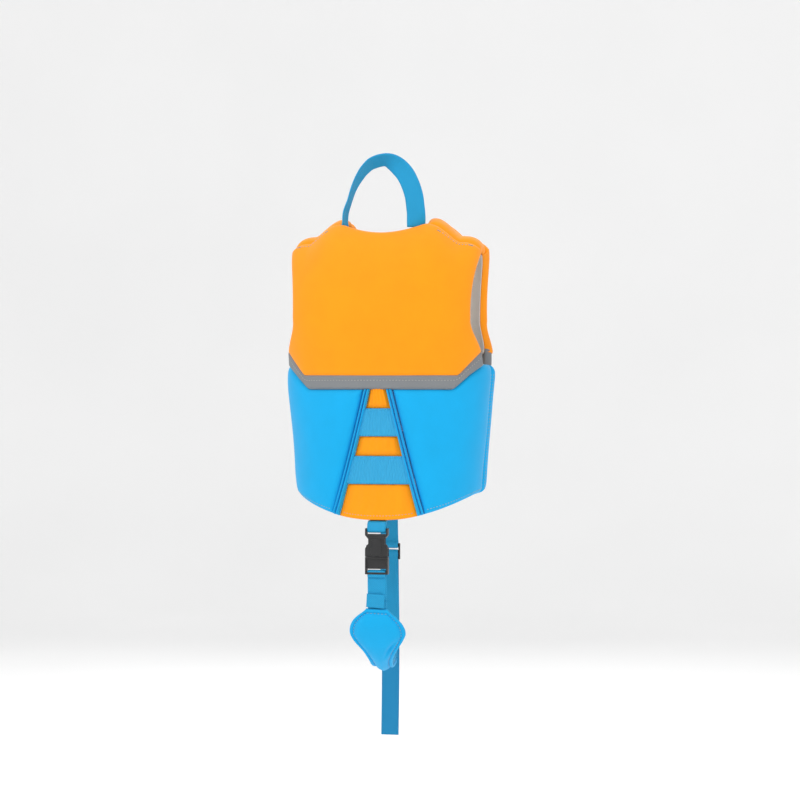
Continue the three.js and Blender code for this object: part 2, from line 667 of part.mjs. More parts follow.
function buckle(prefix, place) {
  const group = new THREE.Group();
  group.matrix.copy(place);
  group.matrix.decompose(group.position, group.quaternion, group.scale);
  vest.add(group);
  addMesh(`${prefix}_buckle_female`, 'black', femaleGeometry(), group);
  addMesh(`${prefix}_buckle_male`, 'black', maleGeometry(), group);
  addMesh(`${prefix}_buckle_arm_upper`, 'black', armGeometry(1), group);
  addMesh(`${prefix}_buckle_arm_lower`, 'black', armGeometry(-1), group);
}

// ---- Chest and waist straps ----

const BUCKLE_PLANE = -(FRONT_DEPTH + WAIST_FRONT_THICK + GAP + BUCKLE_THICK / 2);
const BUCKLE_START = -BUCKLE_LENGTH / 2;
const STRAP_LIFT = WAIST_FRONT_THICK + WEBBING / 2 + STRAP_GAP;
const STRAP_LEAVES = 52;        // half width where a front strap lifts off towards its buckle
const UP = new THREE.Vector3(0, 0, 1);

// Points along the belt's front from where the strap is sewn to where it lifts off.
function strapOnBelt(side, level) {
  const from = psiAt(STRAP_SEWN_AT, level);
  const to = psiAt(STRAP_LEAVES, level);
  const points = [];
  for (let k = 0; k <= 6; k += 1) {
    const psi = Math.PI - lerp(from, to, k / 6);
    points.push(onBelt(side * psi, level, STRAP_LIFT));
  }
  return points;
}

for (const [prefix, level] of [['chest', CHEST_STRAP_LEVEL], ['waist', WAIST_STRAP_LEVEL]]) {
  const place = new THREE.Matrix4().makeTranslation(BUCKLE_START, BUCKLE_PLANE, level);
  buckle(prefix, place);
  const loop = barLoop(BAR, BAR_HALF, 6).map(
    ([x, y]) => new THREE.Vector3(BUCKLE_START + x, BUCKLE_PLANE + y, level),
  );
  const fixed = [...strapOnBelt(-1, level), ...loop];
  addMesh(`${prefix}_strap_right`, 'webbing', ribbon(fixed, UP));
  const end = BUCKLE_START + STRAP_END;
  const free = [end, BUCKLE_START + BUCKLE_LENGTH + RELEASE_TRAVEL + 2].map(
    (x) => new THREE.Vector3(x, BUCKLE_PLANE, level),
  );
  addMesh(`${prefix}_strap_left`, 'webbing', ribbon([...strapOnBelt(1, level), ...free.reverse()], UP));
}

// ---- Zip ----

const ZIP_TOP = NECK_V;
const ZIP_BOTTOM = HEM_FRONT + 4;
const CHAIN_FACE = CHAIN_BACK + CHAIN_THICK;
const TAPE_BACK = CHAIN_BACK + 0.4;
const TAPE_FACE = TAPE_BACK + TAPE_THICK;
const frontLift = (lift) => -(FRONT_DEPTH + lift);

for (const [word, side] of [['left', 1], ['right', -1]]) {
  const chain = block(GAP / 2, CHAIN_WIDTH, frontLift(CHAIN_FACE), frontLift(CHAIN_BACK),
    ZIP_BOTTOM, ZIP_TOP);
  const tape = block(CHAIN_WIDTH - 0.5, ZIP_HALF_WIDTH - GAP, frontLift(TAPE_FACE), frontLift(TAPE_BACK),
    ZIP_BOTTOM, ZIP_TOP);
  const stringer = toManifold(chain).add(toManifold(tape));
  const mirrorX = new THREE.Matrix4().makeScale(side, 1, 1);
  const geometry = fromManifold(stringer).applyMatrix4(mirrorX);
  addMesh(`zipper_stringer_${word}`, 'black', side > 0 ? geometry : flipped(geometry));
}

function flipped(geometry) {
  const index = geometry.index.array;
  for (let k = 0; k < index.length; k += 3) [index[k], index[k + 1]] = [index[k + 1], index[k]];
  return geometry;
}

const SLIDER_BACK = CHAIN_FACE + GAP;
const SLIDER_TOP = ZIP_TOP - 1;
const SLIDER_BOTTOM = SLIDER_TOP - SLIDER_LENGTH;
const sliderHalf = SLIDER_WIDTH / 2;
const PULL_HINGE_LIFT = SLIDER_BACK + SLIDER_PLATE + 2.2;
const PULL_HINGE_LEVEL = SLIDER_TOP - 4;

function sliderGeometry() {
  const top = block(-sliderHalf, sliderHalf, frontLift(SLIDER_BACK + SLIDER_PLATE), frontLift(SLIDER_BACK),
    SLIDER_BOTTOM, SLIDER_TOP);
  let solid = toManifold(top);
  for (const side of [1, -1]) {
    const inner = side * (CHAIN_WIDTH + GAP);
    const outer = side * sliderHalf;
    const flange = block(Math.min(inner, outer), Math.max(inner, outer), frontLift(SLIDER_BACK + 0.2),
      frontLift(TAPE_FACE + GAP), SLIDER_BOTTOM, SLIDER_TOP);
    const lug = block(Math.min(side * 2, side * 1), Math.max(side * 2, side * 1),
      frontLift(PULL_HINGE_LIFT + 1.4), frontLift(SLIDER_BACK + 0.2),
      PULL_HINGE_LEVEL - 1.6, PULL_HINGE_LEVEL + 1.6);
    solid = solid.add(toManifold(flange)).add(toManifold(lug));
  }
  const pin = new THREE.CylinderGeometry(0.7, 0.7, 2.4, 10);
  pin.rotateZ(Math.PI / 2).translate(0, frontLift(PULL_HINGE_LIFT), PULL_HINGE_LEVEL);
  return fromManifold(solid.add(toManifold(pin)));
}
addMesh('zipper_slider', 'black', sliderGeometry());

function pullGeometry() {
  const half = PULL_WIDTH / 2;
  const bottom = PULL_HINGE_LEVEL - PULL_LENGTH;
  const neck = PULL_HINGE_LEVEL - 4;
  const outline = [
    [-0.7, PULL_HINGE_LEVEL + 1.8], [-0.7, neck], [-half, neck - 3], [-half, bottom + 2],
    [-half + 2, bottom], [half - 2, bottom], [half, bottom + 2], [half, neck - 3], [0.7, neck],
    [0.7, PULL_HINGE_LEVEL + 1.8],
  ];
  const tag = plate(outline, PULL_THICK + 0.6).translate(0, frontLift(PULL_HINGE_LIFT), 0);
  const eye = new THREE.CylinderGeometry(1.05, 1.05, 4, 10);
  eye.rotateZ(Math.PI / 2).translate(0, frontLift(PULL_HINGE_LIFT), PULL_HINGE_LEVEL);
  return fromManifold(toManifold(tag).subtract(toManifold(eye)));
}
addMesh('zipper_pull', 'black', pullGeometry());

const zipBox = block(-sliderHalf, sliderHalf, frontLift(SLIDER_BACK + 1.6), frontLift(SLIDER_BACK),
  ZIP_BOTTOM, ZIP_BOTTOM + ZIP_BOX_LENGTH);
addMesh('zipper_box', 'black', zipBox);

// ---- Crotch strap ----

const SIDEWAYS = new THREE.Vector3(1, 0, 0);
const CROTCH_START = HEM_BACK - BACK_TAB_LENGTH;
const crotchPlace = new THREE.Matrix4().makeBasis(
  new THREE.Vector3(0, 0, -1), new THREE.Vector3(0, -1, 0), new THREE.Vector3(-1, 0, 0),
).setPosition(0, CROTCH_BUCKLE_Y, CROTCH_START);
buckle('crotch', crotchPlace);

const hemY = backDepth(HEM_BACK) + GUSSET_THICK / 2;
const HEM_TUCK = 0.5;
const hemLayer = WEBBING / 2 + 0.3;
const tabStart = new THREE.Vector3(0, hemY - hemLayer, HEM_BACK - HEM_TUCK);
const tabEnd = new THREE.Vector3(0, hemY + hemLayer, HEM_BACK - HEM_TUCK);
const tabLoop = barLoop(BAR, BAR_HALF, 0).slice(0, -1).map(
  ([x, y]) => new THREE.Vector3(0, CROTCH_BUCKLE_Y - y, CROTCH_START - x),
);
addMesh('crotch_back_tab', 'webbing', ribbon([tabStart, ...tabLoop, tabEnd], SIDEWAYS));

// The glide hangs from a tab under the front hem, and its top bar is the crotch strap's pivot.
const GLIDE_LEVEL = HEM_FRONT - GLIDE_HANG;
const glideBarRadius = GLIDE_BAR / 2;
const glideHalf = WEBBING_WIDTH / 2 + BUCKLE_RAIL;
const glideSlotHalf = WEBBING_WIDTH / 2 + TUNNEL_PLAY;
const GLIDE_BOTTOM = -(GLIDE_BAR / 2 + 2 * GLIDE_SLOT + 2 * GLIDE_BAR);

function glideGeometry() {
  const top = glideBarRadius;
  const middle = -(glideBarRadius + GLIDE_SLOT);
  const holes = [
    rectangle(-glideSlotHalf, glideSlotHalf, middle, top + 1),
    rectangle(-glideSlotHalf, glideSlotHalf, GLIDE_BOTTOM + GLIDE_BAR, middle - GLIDE_BAR),
  ];
  const frame = plate(rectangle(-glideHalf, glideHalf, GLIDE_BOTTOM, top), GLIDE_THICK);
  let solid = toManifold(frame);
  for (const [[x0, z0], , [x1, z1]] of holes) {
    solid = solid.subtract(toManifold(block(x0, x1, -GLIDE_THICK, GLIDE_THICK, z0, z1)));
  }
  const bar = new THREE.CylinderGeometry(glideBarRadius, glideBarRadius, 2 * glideSlotHalf + 1, 12);
  return fromManifold(solid.add(toManifold(bar.rotateZ(Math.PI / 2))));
}
addMesh('crotch_glide', 'black', glideGeometry().translate(GLIDE_SIDE, GLIDE_Y, GLIDE_LEVEL));

const frontHemY = -(FRONT_DEPTH + 5);
const frontLoop = barLoop(glideBarRadius, glideBarRadius, 0).slice(0, -1).map(
  ([x, y]) => new THREE.Vector3(GLIDE_SIDE, GLIDE_Y + y, GLIDE_LEVEL - x),
);
const frontStart = new THREE.Vector3(GLIDE_SIDE, frontHemY + hemLayer, HEM_FRONT - HEM_TUCK);
const frontEnd = new THREE.Vector3(GLIDE_SIDE, frontHemY - hemLayer, HEM_FRONT - HEM_TUCK);
addMesh('crotch_front_tab', 'webbing', ribbon([frontStart, ...frontLoop, frontEnd], SIDEWAYS));

// The strap's route between the legs, from the male buckle at the back to the glide in front.
const STRAP_TOP = CROTCH_START - STRAP_END;
const STRAP_LOW = CROTCH_START - BUCKLE_LENGTH - CROTCH_DROP;
const glideSlotLevel = GLIDE_LEVEL - glideBarRadius - GLIDE_SLOT / 2;

function strapCurve() {
  const back = CROTCH_BUCKLE_Y;
  const front = GLIDE_Y + GLIDE_THICK / 2 + WEBBING / 2 + WEB_ROOM;
  const rows = [
    [0, back, STRAP_TOP], [0, back, STRAP_TOP - 12], [0, back - 1, lerp(STRAP_TOP, STRAP_LOW, 0.3)],
    [1, back - 8, lerp(STRAP_TOP, STRAP_LOW, 0.55)], [2, back - 24, lerp(STRAP_TOP, STRAP_LOW, 0.8)],
    [4, back - 50, lerp(STRAP_TOP, STRAP_LOW, 0.96)], [6, 0, STRAP_LOW],
    [9, lerp(0, front, 0.36), lerp(STRAP_TOP, STRAP_LOW, 0.96)],
    [12, lerp(0, front, 0.68), lerp(STRAP_TOP, STRAP_LOW, 0.8)],
    [14, lerp(0, front, 0.9), lerp(STRAP_TOP, STRAP_LOW, 0.5)],
    [GLIDE_SIDE, front, GLIDE_LEVEL + GLIDE_BOTTOM - 4], [GLIDE_SIDE, front, glideSlotLevel - 1.5],
  ];
  return new THREE.CatmullRomCurve3(rows.map((row) => new THREE.Vector3(...row)), false, 'centripetal');
}

const crotchCurve = strapCurve();
const crotchPath = crotchCurve.getSpacedPoints(36);
addMesh('crotch_strap', 'webbing', ribbon(crotchPath, SIDEWAYS));

// A leaf-shaped pad on the strap's outer side, widest towards the seat and narrow between the legs.
function padPatch(a, b, lift) {
  const share = clamp((PAD_START + b * PAD_LENGTH) / crotchCurve.getLength(), 0, 1);
  const point = crotchCurve.getPointAt(share);
  const along = crotchCurve.getTangentAt(share);
  const out = SIDEWAYS.clone().cross(along).normalize();
  const shoulder = smooth(b, -0.12, 0.22);
  const taper = lerp(1, 0.45, smooth(b, 0.25, 0.7)) * lerp(1, 0.62, smooth(b, 0.8, 1));
  const half = PAD_HALF_WIDTH * shoulder * taper;
  return point.addScaledVector(SIDEWAYS, (2 * a - 1) * half).addScaledVector(out, lift);
}
const padLow = WEBBING / 2 + GAP;
addMesh('crotch_pad', 'blue', slab(padPatch, [even(4), even(14)], padLow, padLow + PAD_THICK));

// The strap's spare end hangs from the glide.
const tailY = GLIDE_Y - GLIDE_THICK / 2 - WEBBING / 2 - WEB_ROOM;
const TAIL_ROUTE = [
  [GLIDE_SIDE, tailY, glideSlotLevel - GLIDE_BAR], [GLIDE_SIDE, tailY, glideSlotLevel - 12],
  [GLIDE_SIDE, tailY - 2, glideSlotLevel - 45], [GLIDE_SIDE, tailY - 5, glideSlotLevel - 90],
  [GLIDE_SIDE, tailY - 4, glideSlotLevel - 150], [GLIDE_SIDE, tailY, glideSlotLevel - TAIL_LENGTH],
];
const tailCurve = new THREE.CatmullRomCurve3(TAIL_ROUTE.map((row) => new THREE.Vector3(...row)));
addMesh('strap_tail', 'webbing', ribbon(tailCurve.getSpacedPoints(16), SIDEWAYS));

// ---- Grab loop ----
// The webbing stands on edge at its left leg, turns over at the top and lies flat at its right leg.
// Each row is a share of the way across, a share of the height, and the direction of the width.

const LOOP_LIFT = 6;
const LOOP_SEAT = [-0.15, 0.8, 0.57];
const LOOP_ROWS = [
  [0.99, 0.2, [0.05, 1, 0.15]], [0.935, 0.385, [0, 1, 0.1]],
  [0.875, 0.58, [0, 0.97, 0.25]], [0.8, 0.74, [0, 0.9, 0.4]], [0.72, 0.86, [-0.05, 0.85, 0.5]],
  [0.62, 0.95, LOOP_SEAT], [0.46, 1, LOOP_SEAT], [0.34, 0.965, [-0.45, 0.5, 0.72]],
  [0.24, 0.89, [-0.7, 0.2, 0.7]], [0.15, 0.78, [-0.8, 0.05, 0.6]], [0.08, 0.63, [-0.9, 0, 0.42]],
  [0.03, 0.46, [-0.96, 0, 0.22]], [0.01, 0.3, [-1, 0, 0.1]], [0, 0.2, [-1, 0, 0.1]],
];

const LOOP_SEAM = 2.2;
const loopFoot = (x, lift) => onTorso(backTop(x) + LOOP_SEAM, x, lift);
const leftFoot = loopFoot(LOOP_LEFT, LOOP_LIFT);
const rightFoot = loopFoot(LOOP_RIGHT, LOOP_LIFT);
const leftWidth = loopFoot(LOOP_LEFT, 1).sub(loopFoot(LOOP_LEFT, 0));
const rightWidth = loopFoot(LOOP_RIGHT - 8, LOOP_LIFT).sub(loopFoot(LOOP_RIGHT + 8, LOOP_LIFT));
const loopPath = LOOP_ROWS.map(([across, height]) => {
  const foot = rightFoot.clone().lerp(leftFoot, across);
  return foot.setZ(lerp(foot.z, LOOP_TOP, height));
});
const loopWidths = LOOP_ROWS.map((row) => new THREE.Vector3(...row[2]));
const loop = ribbon([leftFoot, ...loopPath, rightFoot], [leftWidth, ...loopWidths, rightWidth]);
addMesh('grab_loop', 'webbing', loop);

export default vest;
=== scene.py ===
import math
import random

import bmesh
import bpy
import numpy as np
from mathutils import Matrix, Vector
from mathutils.bvhtree import BVHTree


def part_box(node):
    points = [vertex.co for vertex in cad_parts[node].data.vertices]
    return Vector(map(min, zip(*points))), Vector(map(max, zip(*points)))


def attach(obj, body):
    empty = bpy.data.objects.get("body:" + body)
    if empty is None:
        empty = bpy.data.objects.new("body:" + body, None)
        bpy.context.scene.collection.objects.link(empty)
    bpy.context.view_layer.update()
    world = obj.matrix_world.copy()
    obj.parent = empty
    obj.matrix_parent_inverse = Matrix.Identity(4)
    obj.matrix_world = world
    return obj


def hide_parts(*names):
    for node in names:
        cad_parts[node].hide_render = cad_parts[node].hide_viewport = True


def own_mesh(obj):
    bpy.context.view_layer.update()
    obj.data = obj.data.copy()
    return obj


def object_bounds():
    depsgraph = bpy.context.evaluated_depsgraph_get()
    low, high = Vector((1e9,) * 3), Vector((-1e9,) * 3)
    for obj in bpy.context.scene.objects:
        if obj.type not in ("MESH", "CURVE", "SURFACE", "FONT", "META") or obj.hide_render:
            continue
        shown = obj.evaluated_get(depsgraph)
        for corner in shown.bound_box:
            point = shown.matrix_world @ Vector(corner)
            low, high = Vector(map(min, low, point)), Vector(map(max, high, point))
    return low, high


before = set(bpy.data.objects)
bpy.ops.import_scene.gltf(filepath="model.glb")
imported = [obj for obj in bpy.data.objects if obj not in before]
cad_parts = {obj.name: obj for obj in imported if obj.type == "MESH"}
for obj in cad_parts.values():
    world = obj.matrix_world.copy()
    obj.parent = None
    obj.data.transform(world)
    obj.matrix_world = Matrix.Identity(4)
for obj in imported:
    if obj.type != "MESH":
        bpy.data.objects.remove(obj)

CAD_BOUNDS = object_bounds()

bl_info = {
    "name": "Child's Swim Vest",
    "version": (1, 0, 0),
    "blender": (4, 5, 0),
    "location": "View3D > Sidebar > Swim Vest",
    "description": "Builds the padded panels, webbing, buckles and zip of a child's swim vest",
    "category": "Add Mesh",
}

# ---- The torso that the vest is laid on, in metres ----

CHEST_HALF = 0.1005
HIP_HALF = 0.088
UNDERARM_SPREAD = 0.008
BACK_DEPTH = 0.063
BACK_HOLLOW = 0.008
FRONT_DEPTH = 0.074
CORNER = 2 / 2.4
DOME = 0.87
SHOULDER_BASE = -0.095
SHOULDER_ARC = 0.130
PANEL_BOTTOM = -0.157
PANEL_CORNER = -0.129
TRIM_HEIGHT = 0.012
HEM_BACK = -0.309
HEM_SIDE = -0.282
HEM_FRONT = -0.298
PANEL_FLAT = 0.078
ARMHOLE_CORNER = 0.098
ARMHOLE_WAIST = 0.091
SHOULDER_END = 0.098
NECK_HALF = 0.046
NECK_DIP = 0.016
FOLD_T = SHOULDER_ARC - 0.034
FRONT_FOLD_T = SHOULDER_ARC + 0.026
NECK_V = -0.078
ZIP_HALF = 0.013
SIDE_SEAM = math.radians(93)
BELT_TOP = PANEL_BOTTOM - TRIM_HEIGHT
CORNER_T = PANEL_CORNER - SHOULDER_BASE
BOTTOM_T = PANEL_BOTTOM - SHOULDER_BASE
GUSSET_TOP_HALF = 0.008
GUSSET_HEM_HALF = 0.040
PIPING_WIDTH = 0.0065
WEBBING_WIDTH = 0.020
WEBBING = 0.0016
WRAP_WIDTH = 0.0196
PAD_FLOOR = 0.0016


def smooth(value, low, high):
    share = np.clip((value - low) / (high - low), 0, 1)
    return share * share * (3 - 2 * share)


def power(value, exponent):
    return np.sign(value) * np.abs(value) ** exponent


def lerp(a, b, share):
    return a + (b - a) * share


def half_width(z):
    upper = np.clip((z - HEM_BACK) / (PANEL_BOTTOM - HEM_BACK), 0, 1)
    underarm = smooth(z, PANEL_BOTTOM, SHOULDER_BASE + 0.005)
    return lerp(HIP_HALF, CHEST_HALF, upper) + UNDERARM_SPREAD * underarm


def back_depth(z):
    middle = (HEM_BACK + SHOULDER_BASE - 0.026) / 2
    return BACK_DEPTH + BACK_HOLLOW * ((z - middle) / (SHOULDER_BASE - middle)) ** 2


def ridge(x):
    side = np.abs(x)
    slope = smooth(side, NECK_HALF, NECK_HALF + 0.034)
    end = smooth(side, SHOULDER_END - 0.010, SHOULDER_END + 0.010)
    return 0.008 - 0.022 * slope - 0.016 * end


def torso(t, psi):
    """A point of the wearer: t runs up the back, over the shoulder and down the front, psi across."""
    phi = np.clip(t / SHOULDER_ARC, 0, 2) * math.pi / 2
    level = SHOULDER_BASE - np.maximum(np.maximum(-t, t - 2 * SHOULDER_ARC), 0)
    x = half_width(level) * power(np.sin(psi), CORNER)
    depth = np.where(phi < math.pi / 2, back_depth(level), FRONT_DEPTH)
    y = depth * power(np.cos(psi), CORNER) * power(np.cos(phi), DOME)
    z = level + (ridge(x) - SHOULDER_BASE) * power(np.sin(phi), DOME)
    return np.stack(np.broadcast_arrays(x, y, z), axis=-1)


def belt(psi, z):
    """A point of the wearer's waist: psi goes all the way round from the middle of the back."""
    front = np.abs(psi) > math.pi / 2
    t = np.where(front, 2 * SHOULDER_ARC + SHOULDER_BASE - z, z - SHOULDER_BASE)
    return torso(t, np.where(front, np.sign(psi) * math.pi - psi, psi))


def level_of(t):
    return SHOULDER_BASE - np.maximum(np.maximum(-t, t - 2 * SHOULDER_ARC), 0)


def psi_at(x, z):
    return np.arcsin(power(np.clip(x / half_width(z), -1, 1), 1 / CORNER))


def lifted(surface, u, v, lift):
    """Points that stand off a surface along its outward normal."""
    du = surface(u + 0.004, v) - surface(u - 0.004, v)
    dv = surface(u, v + 0.0003) - surface(u, v - 0.0003)
    normal = np.cross(dv, du)
    normal /= np.linalg.norm(normal, axis=-1, keepdims=True)
    return surface(u, v) + normal * np.asarray(lift)[..., None]


def on_torso(t, x, lift):
    return lifted(lambda psi, v: torso(v, psi), psi_at(x, level_of(t)), t, lift)


def on_belt(psi, z, lift):
    return lifted(belt, psi, z, lift)


# ---- Outlines of the panels, as patches from shares across and along to points ----

def armhole(t):
    away = np.abs(t - SHOULDER_ARC)
    upper = lerp(SHOULDER_END, ARMHOLE_WAIST, smooth(away, SHOULDER_ARC * 0.2, SHOULDER_ARC))
    lower = lerp(ARMHOLE_WAIST, ARMHOLE_CORNER, smooth(away - SHOULDER_ARC, 0, -CORNER_T))
    return np.where(away < SHOULDER_ARC, upper, lower)


def foot_climb(x, flat, corner):
    return np.clip((np.abs(x) - flat) / (corner - flat), 0, 1)


def panel_foot(x):
    return lerp(BOTTOM_T, CORNER_T, foot_climb(x, PANEL_FLAT, ARMHOLE_CORNER))


def belt_top(x):
    high = PANEL_CORNER - TRIM_HEIGHT - 0.002
    return lerp(BELT_TOP, high, foot_climb(x, PANEL_FLAT - 0.004, ARMHOLE_CORNER))


def back_top(x):
    share = np.clip(np.abs(x) / NECK_HALF, 0, 1)
    return FOLD_T - NECK_DIP * (1 - share ** 2)


V_RISE = (NECK_V - SHOULDER_BASE) / (ridge(0.0) - SHOULDER_BASE)
V_T = 2 * SHOULDER_ARC - SHOULDER_ARC * math.asin(V_RISE ** (1 / DOME)) / (math.pi / 2)


def neck_edge(t):
    share = np.clip((t - FRONT_FOLD_T) / (V_T - FRONT_FOLD_T), 0, 1)
    return lerp(NECK_HALF, ZIP_HALF, share ** 1.3)


def back_patch(a, b, lift):
    x = (2 * a - 1) * armhole(lerp(CORNER_T, FOLD_T, b))
    foot = panel_foot((2 * a - 1) * ARMHOLE_CORNER)
    top = back_top((2 * a - 1) * armhole(FOLD_T))
    return on_torso(lerp(foot, top, b), x, lift)


def shoulder_patch(side):
    def patch(a, b, lift):
        t = lerp(FOLD_T + 0.0008, FRONT_FOLD_T - 0.0008, b)
        return on_torso(t, side * lerp(neck_edge(t), armhole(t), a), lift)
    return patch


def front_patch(side):
    def patch(a, b, lift):
        edge = lerp(FRONT_FOLD_T, 2 * SHOULDER_ARC - CORNER_T, b)
        foot_x = lerp(ZIP_HALF, ARMHOLE_CORNER, a)
        t = lerp(FRONT_FOLD_T, 2 * SHOULDER_ARC - panel_foot(foot_x), b)
        return on_torso(t, side * lerp(neck_edge(t), armhole(edge), a), lift)
    return patch


def trim_patch(side):
    def patch(a, b, lift):
        x = (2 * a - 1) * ARMHOLE_CORNER if side == 0 else side * lerp(ZIP_HALF, ARMHOLE_CORNER, a)
        upper = SHOULDER_BASE + panel_foot(x) + 0.0040
        level = lerp(belt_top(x) - 0.0012, upper, b)
        t = level - SHOULDER_BASE if side == 0 else 2 * SHOULDER_ARC + SHOULDER_BASE - level
        return on_torso(t, x, lift)
    return patch


def hem(psi):
    part = np.abs(psi) / (math.pi / 2)
    back = lerp(HEM_BACK, HEM_SIDE, smooth(part, 0, 1))
    return np.where(part < 1, back, lerp(HEM_SIDE, HEM_FRONT, smooth(part, 1, 2)))


def gusset_half(z):
    return lerp(GUSSET_HEM_HALF, GUSSET_TOP_HALF, (z - HEM_BACK) / (BELT_TOP - HEM_BACK))


def belt_patch(side, inner, outer):
    def patch(a, b, lift):
        level = lerp(HEM_BACK, BELT_TOP, b)
        psi = lerp(inner(level), outer(level), a)
        x = half_width(BELT_TOP) * power(np.sin(np.minimum(psi, math.pi - psi)), CORNER)
        return on_belt(side * psi, lerp(hem(psi), belt_top(x), b), lift)
    return patch


def gusset_patch(a, b, lift):
    level = lerp(HEM_BACK, BELT_TOP, b)
    psi = psi_at((2 * a - 1) * (gusset_half(level) + 0.0006), level)
    return on_belt(psi, lerp(hem(psi), BELT_TOP, b), lift)


def piping_inner(z):
    return psi_at(gusset_half(z) + 0.0003, z)


def piping_outer(z):
    return psi_at(gusset_half(z) + PIPING_WIDTH, z)


def waist_inner(z):
    return psi_at(gusset_half(z) + PIPING_WIDTH + 0.0004, z)


def seam_back(z):
    return SIDE_SEAM - 0.002


def seam_front(z):
    return SIDE_SEAM + 0.002


def zip_edge(z):
    return math.pi - psi_at(ZIP_HALF, z)


# ---- Mesh building ----

def link(name, mesh):
    piece = bpy.data.objects.new(name, mesh)
    bpy.context.scene.collection.objects.link(piece)
    return piece


def mesh_piece(name, points, faces, smooth_shading=True):
    mesh = bpy.data.meshes.new(name)
    mesh.from_pydata([tuple(p) for p in points], [], faces)
    mesh.validate()
    work = bmesh.new()
    work.from_mesh(mesh)
    bmesh.ops.recalc_face_normals(work, faces=work.faces)
    work.to_mesh(mesh)
    work.free()
    if smooth_shading:
        mesh.shade_smooth()
    else:
        mesh.shade_flat()
    return link(name, mesh)


def shares(count, dense=0.75):
    """Shares from 0 to 1 that crowd towards both ends."""
    even = np.linspace(0, 1, count + 1)
    return lerp(even, 0.5 - 0.5 * np.cos(math.pi * even), dense)


def rim_of(columns, rows):
    rim = [i * rows for i in range(columns)]
    rim += [(columns - 1) * rows + j for j in range(1, rows)]
    rim += [i * rows + rows - 1 for i in range(columns - 2, -1, -1)]
    return rim + list(range(rows - 2, 0, -1))


def grid_faces(first, columns, rows):
    faces = []
    for i in range(columns - 1):
        for j in range(rows - 1):
            a = first + i * rows + j
            faces.append((a, a + rows, a + rows + 1, a + 1))
    return faces


def wall_faces(upper, lower):
    count = len(upper)
    return [(upper[k], upper[(k + 1) % count], lower[(k + 1) % count], lower[k]) for k in range(count)]


def edge_distance(patch, a, b):
    """Distance of each grid point from the patch's nearest edge, in metres."""
    base = patch(a, b, np.zeros_like(a))
    across = np.linalg.norm(np.diff(base, axis=0), axis=2)
    along = np.linalg.norm(np.diff(base, axis=1), axis=2)
    from_low = np.vstack([np.zeros(base.shape[1]), np.cumsum(across, axis=0)])
    from_foot = np.hstack([np.zeros((base.shape[0], 1)), np.cumsum(along, axis=1)])
    sides = [from_low, from_low[-1] - from_low, from_foot, from_foot[:, -1:] - from_foot]
    return np.min(np.stack(sides), axis=0), base


def ripple(points, scale, seed):
    """A soft seeded unevenness, from -1 to 1, that varies over a few centimetres."""
    chance = random.Random(seed)
    total = np.zeros(points.shape[:-1])
    for _ in range(6):
        wave = np.array([chance.uniform(-1, 1) for _ in range(3)])
        wave *= 2 * math.pi / (scale * chance.uniform(0.7, 1.6)) / np.linalg.norm(wave)
        total += np.sin(points @ wave + chance.uniform(0, 2 * math.pi))
    return total / 6


def pad_piece(name, patch, counts, low, high, radius, soft, seed):
    """A closed pad over a patch: flat towards the wearer, with a rounded rim and a soft, uneven top.

    low and high are lifts, radius rounds the rim, and soft is (crown, unevenness) in metres.
    """
    a, b = np.meshgrid(shares(counts[0]), shares(counts[1]), indexing="ij")
    distance, base = edge_distance(patch, a, b)
    round_share = np.sqrt(np.clip(1 - (1 - np.clip(distance / radius, 0, 1)) ** 2, 0, 1))
    crown = soft[0] * (1 - np.exp(-distance / (2.5 * radius)))
    uneven = soft[1] * ripple(base, 0.07, seed) * np.clip(distance / radius, 0, 1)
    shoulder = low + 0.45 * (high - soft[0] - low)
    lift = lerp(shoulder, high - soft[0], round_share) + crown + uneven
    columns, rows = a.shape
    count = columns * rows
    top = patch(a, b, lift).reshape(-1, 3)
    floor = patch(a, b, np.full_like(a, low)).reshape(-1, 3)
    faces = grid_faces(0, columns, rows)
    faces += [tuple(reversed(face)) for face in grid_faces(count, columns, rows)]
    rim = rim_of(columns, rows)
    faces += wall_faces(rim, [k + count for k in rim])
    piece = mesh_piece(name, np.vstack([top, floor]), faces)
    pinned = piece.vertex_groups.new(name="seam")
    pinned.add(rim + list(range(count, 2 * count)), 1.0, "REPLACE")
    return piece


def slab_piece(name, patch, counts, low, high, rounding=0.3, dense=0.75):
    """A sheet of even thickness over a patch, with its edge rolled by a share of the thickness."""
    a, b = np.meshgrid(shares(counts[0], dense), shares(counts[1], dense), indexing="ij")
    distance, _ = edge_distance(patch, a, b)
    roll = (high - low) * rounding
    drop = roll * (1 - np.clip(distance / max(roll, 1e-5), 0, 1)) ** 2
    columns, rows = a.shape
    count = columns * rows
    top = patch(a, b, high - drop).reshape(-1, 3)
    floor = patch(a, b, low + np.zeros_like(a)).reshape(-1, 3)
    faces = grid_faces(0, columns, rows)
    faces += [tuple(reversed(face)) for face in grid_faces(count, columns, rows)]
    rim = rim_of(columns, rows)
    faces += wall_faces(rim, [k + count for k in rim])
    return mesh_piece(name, np.vstack([top, floor]), faces)


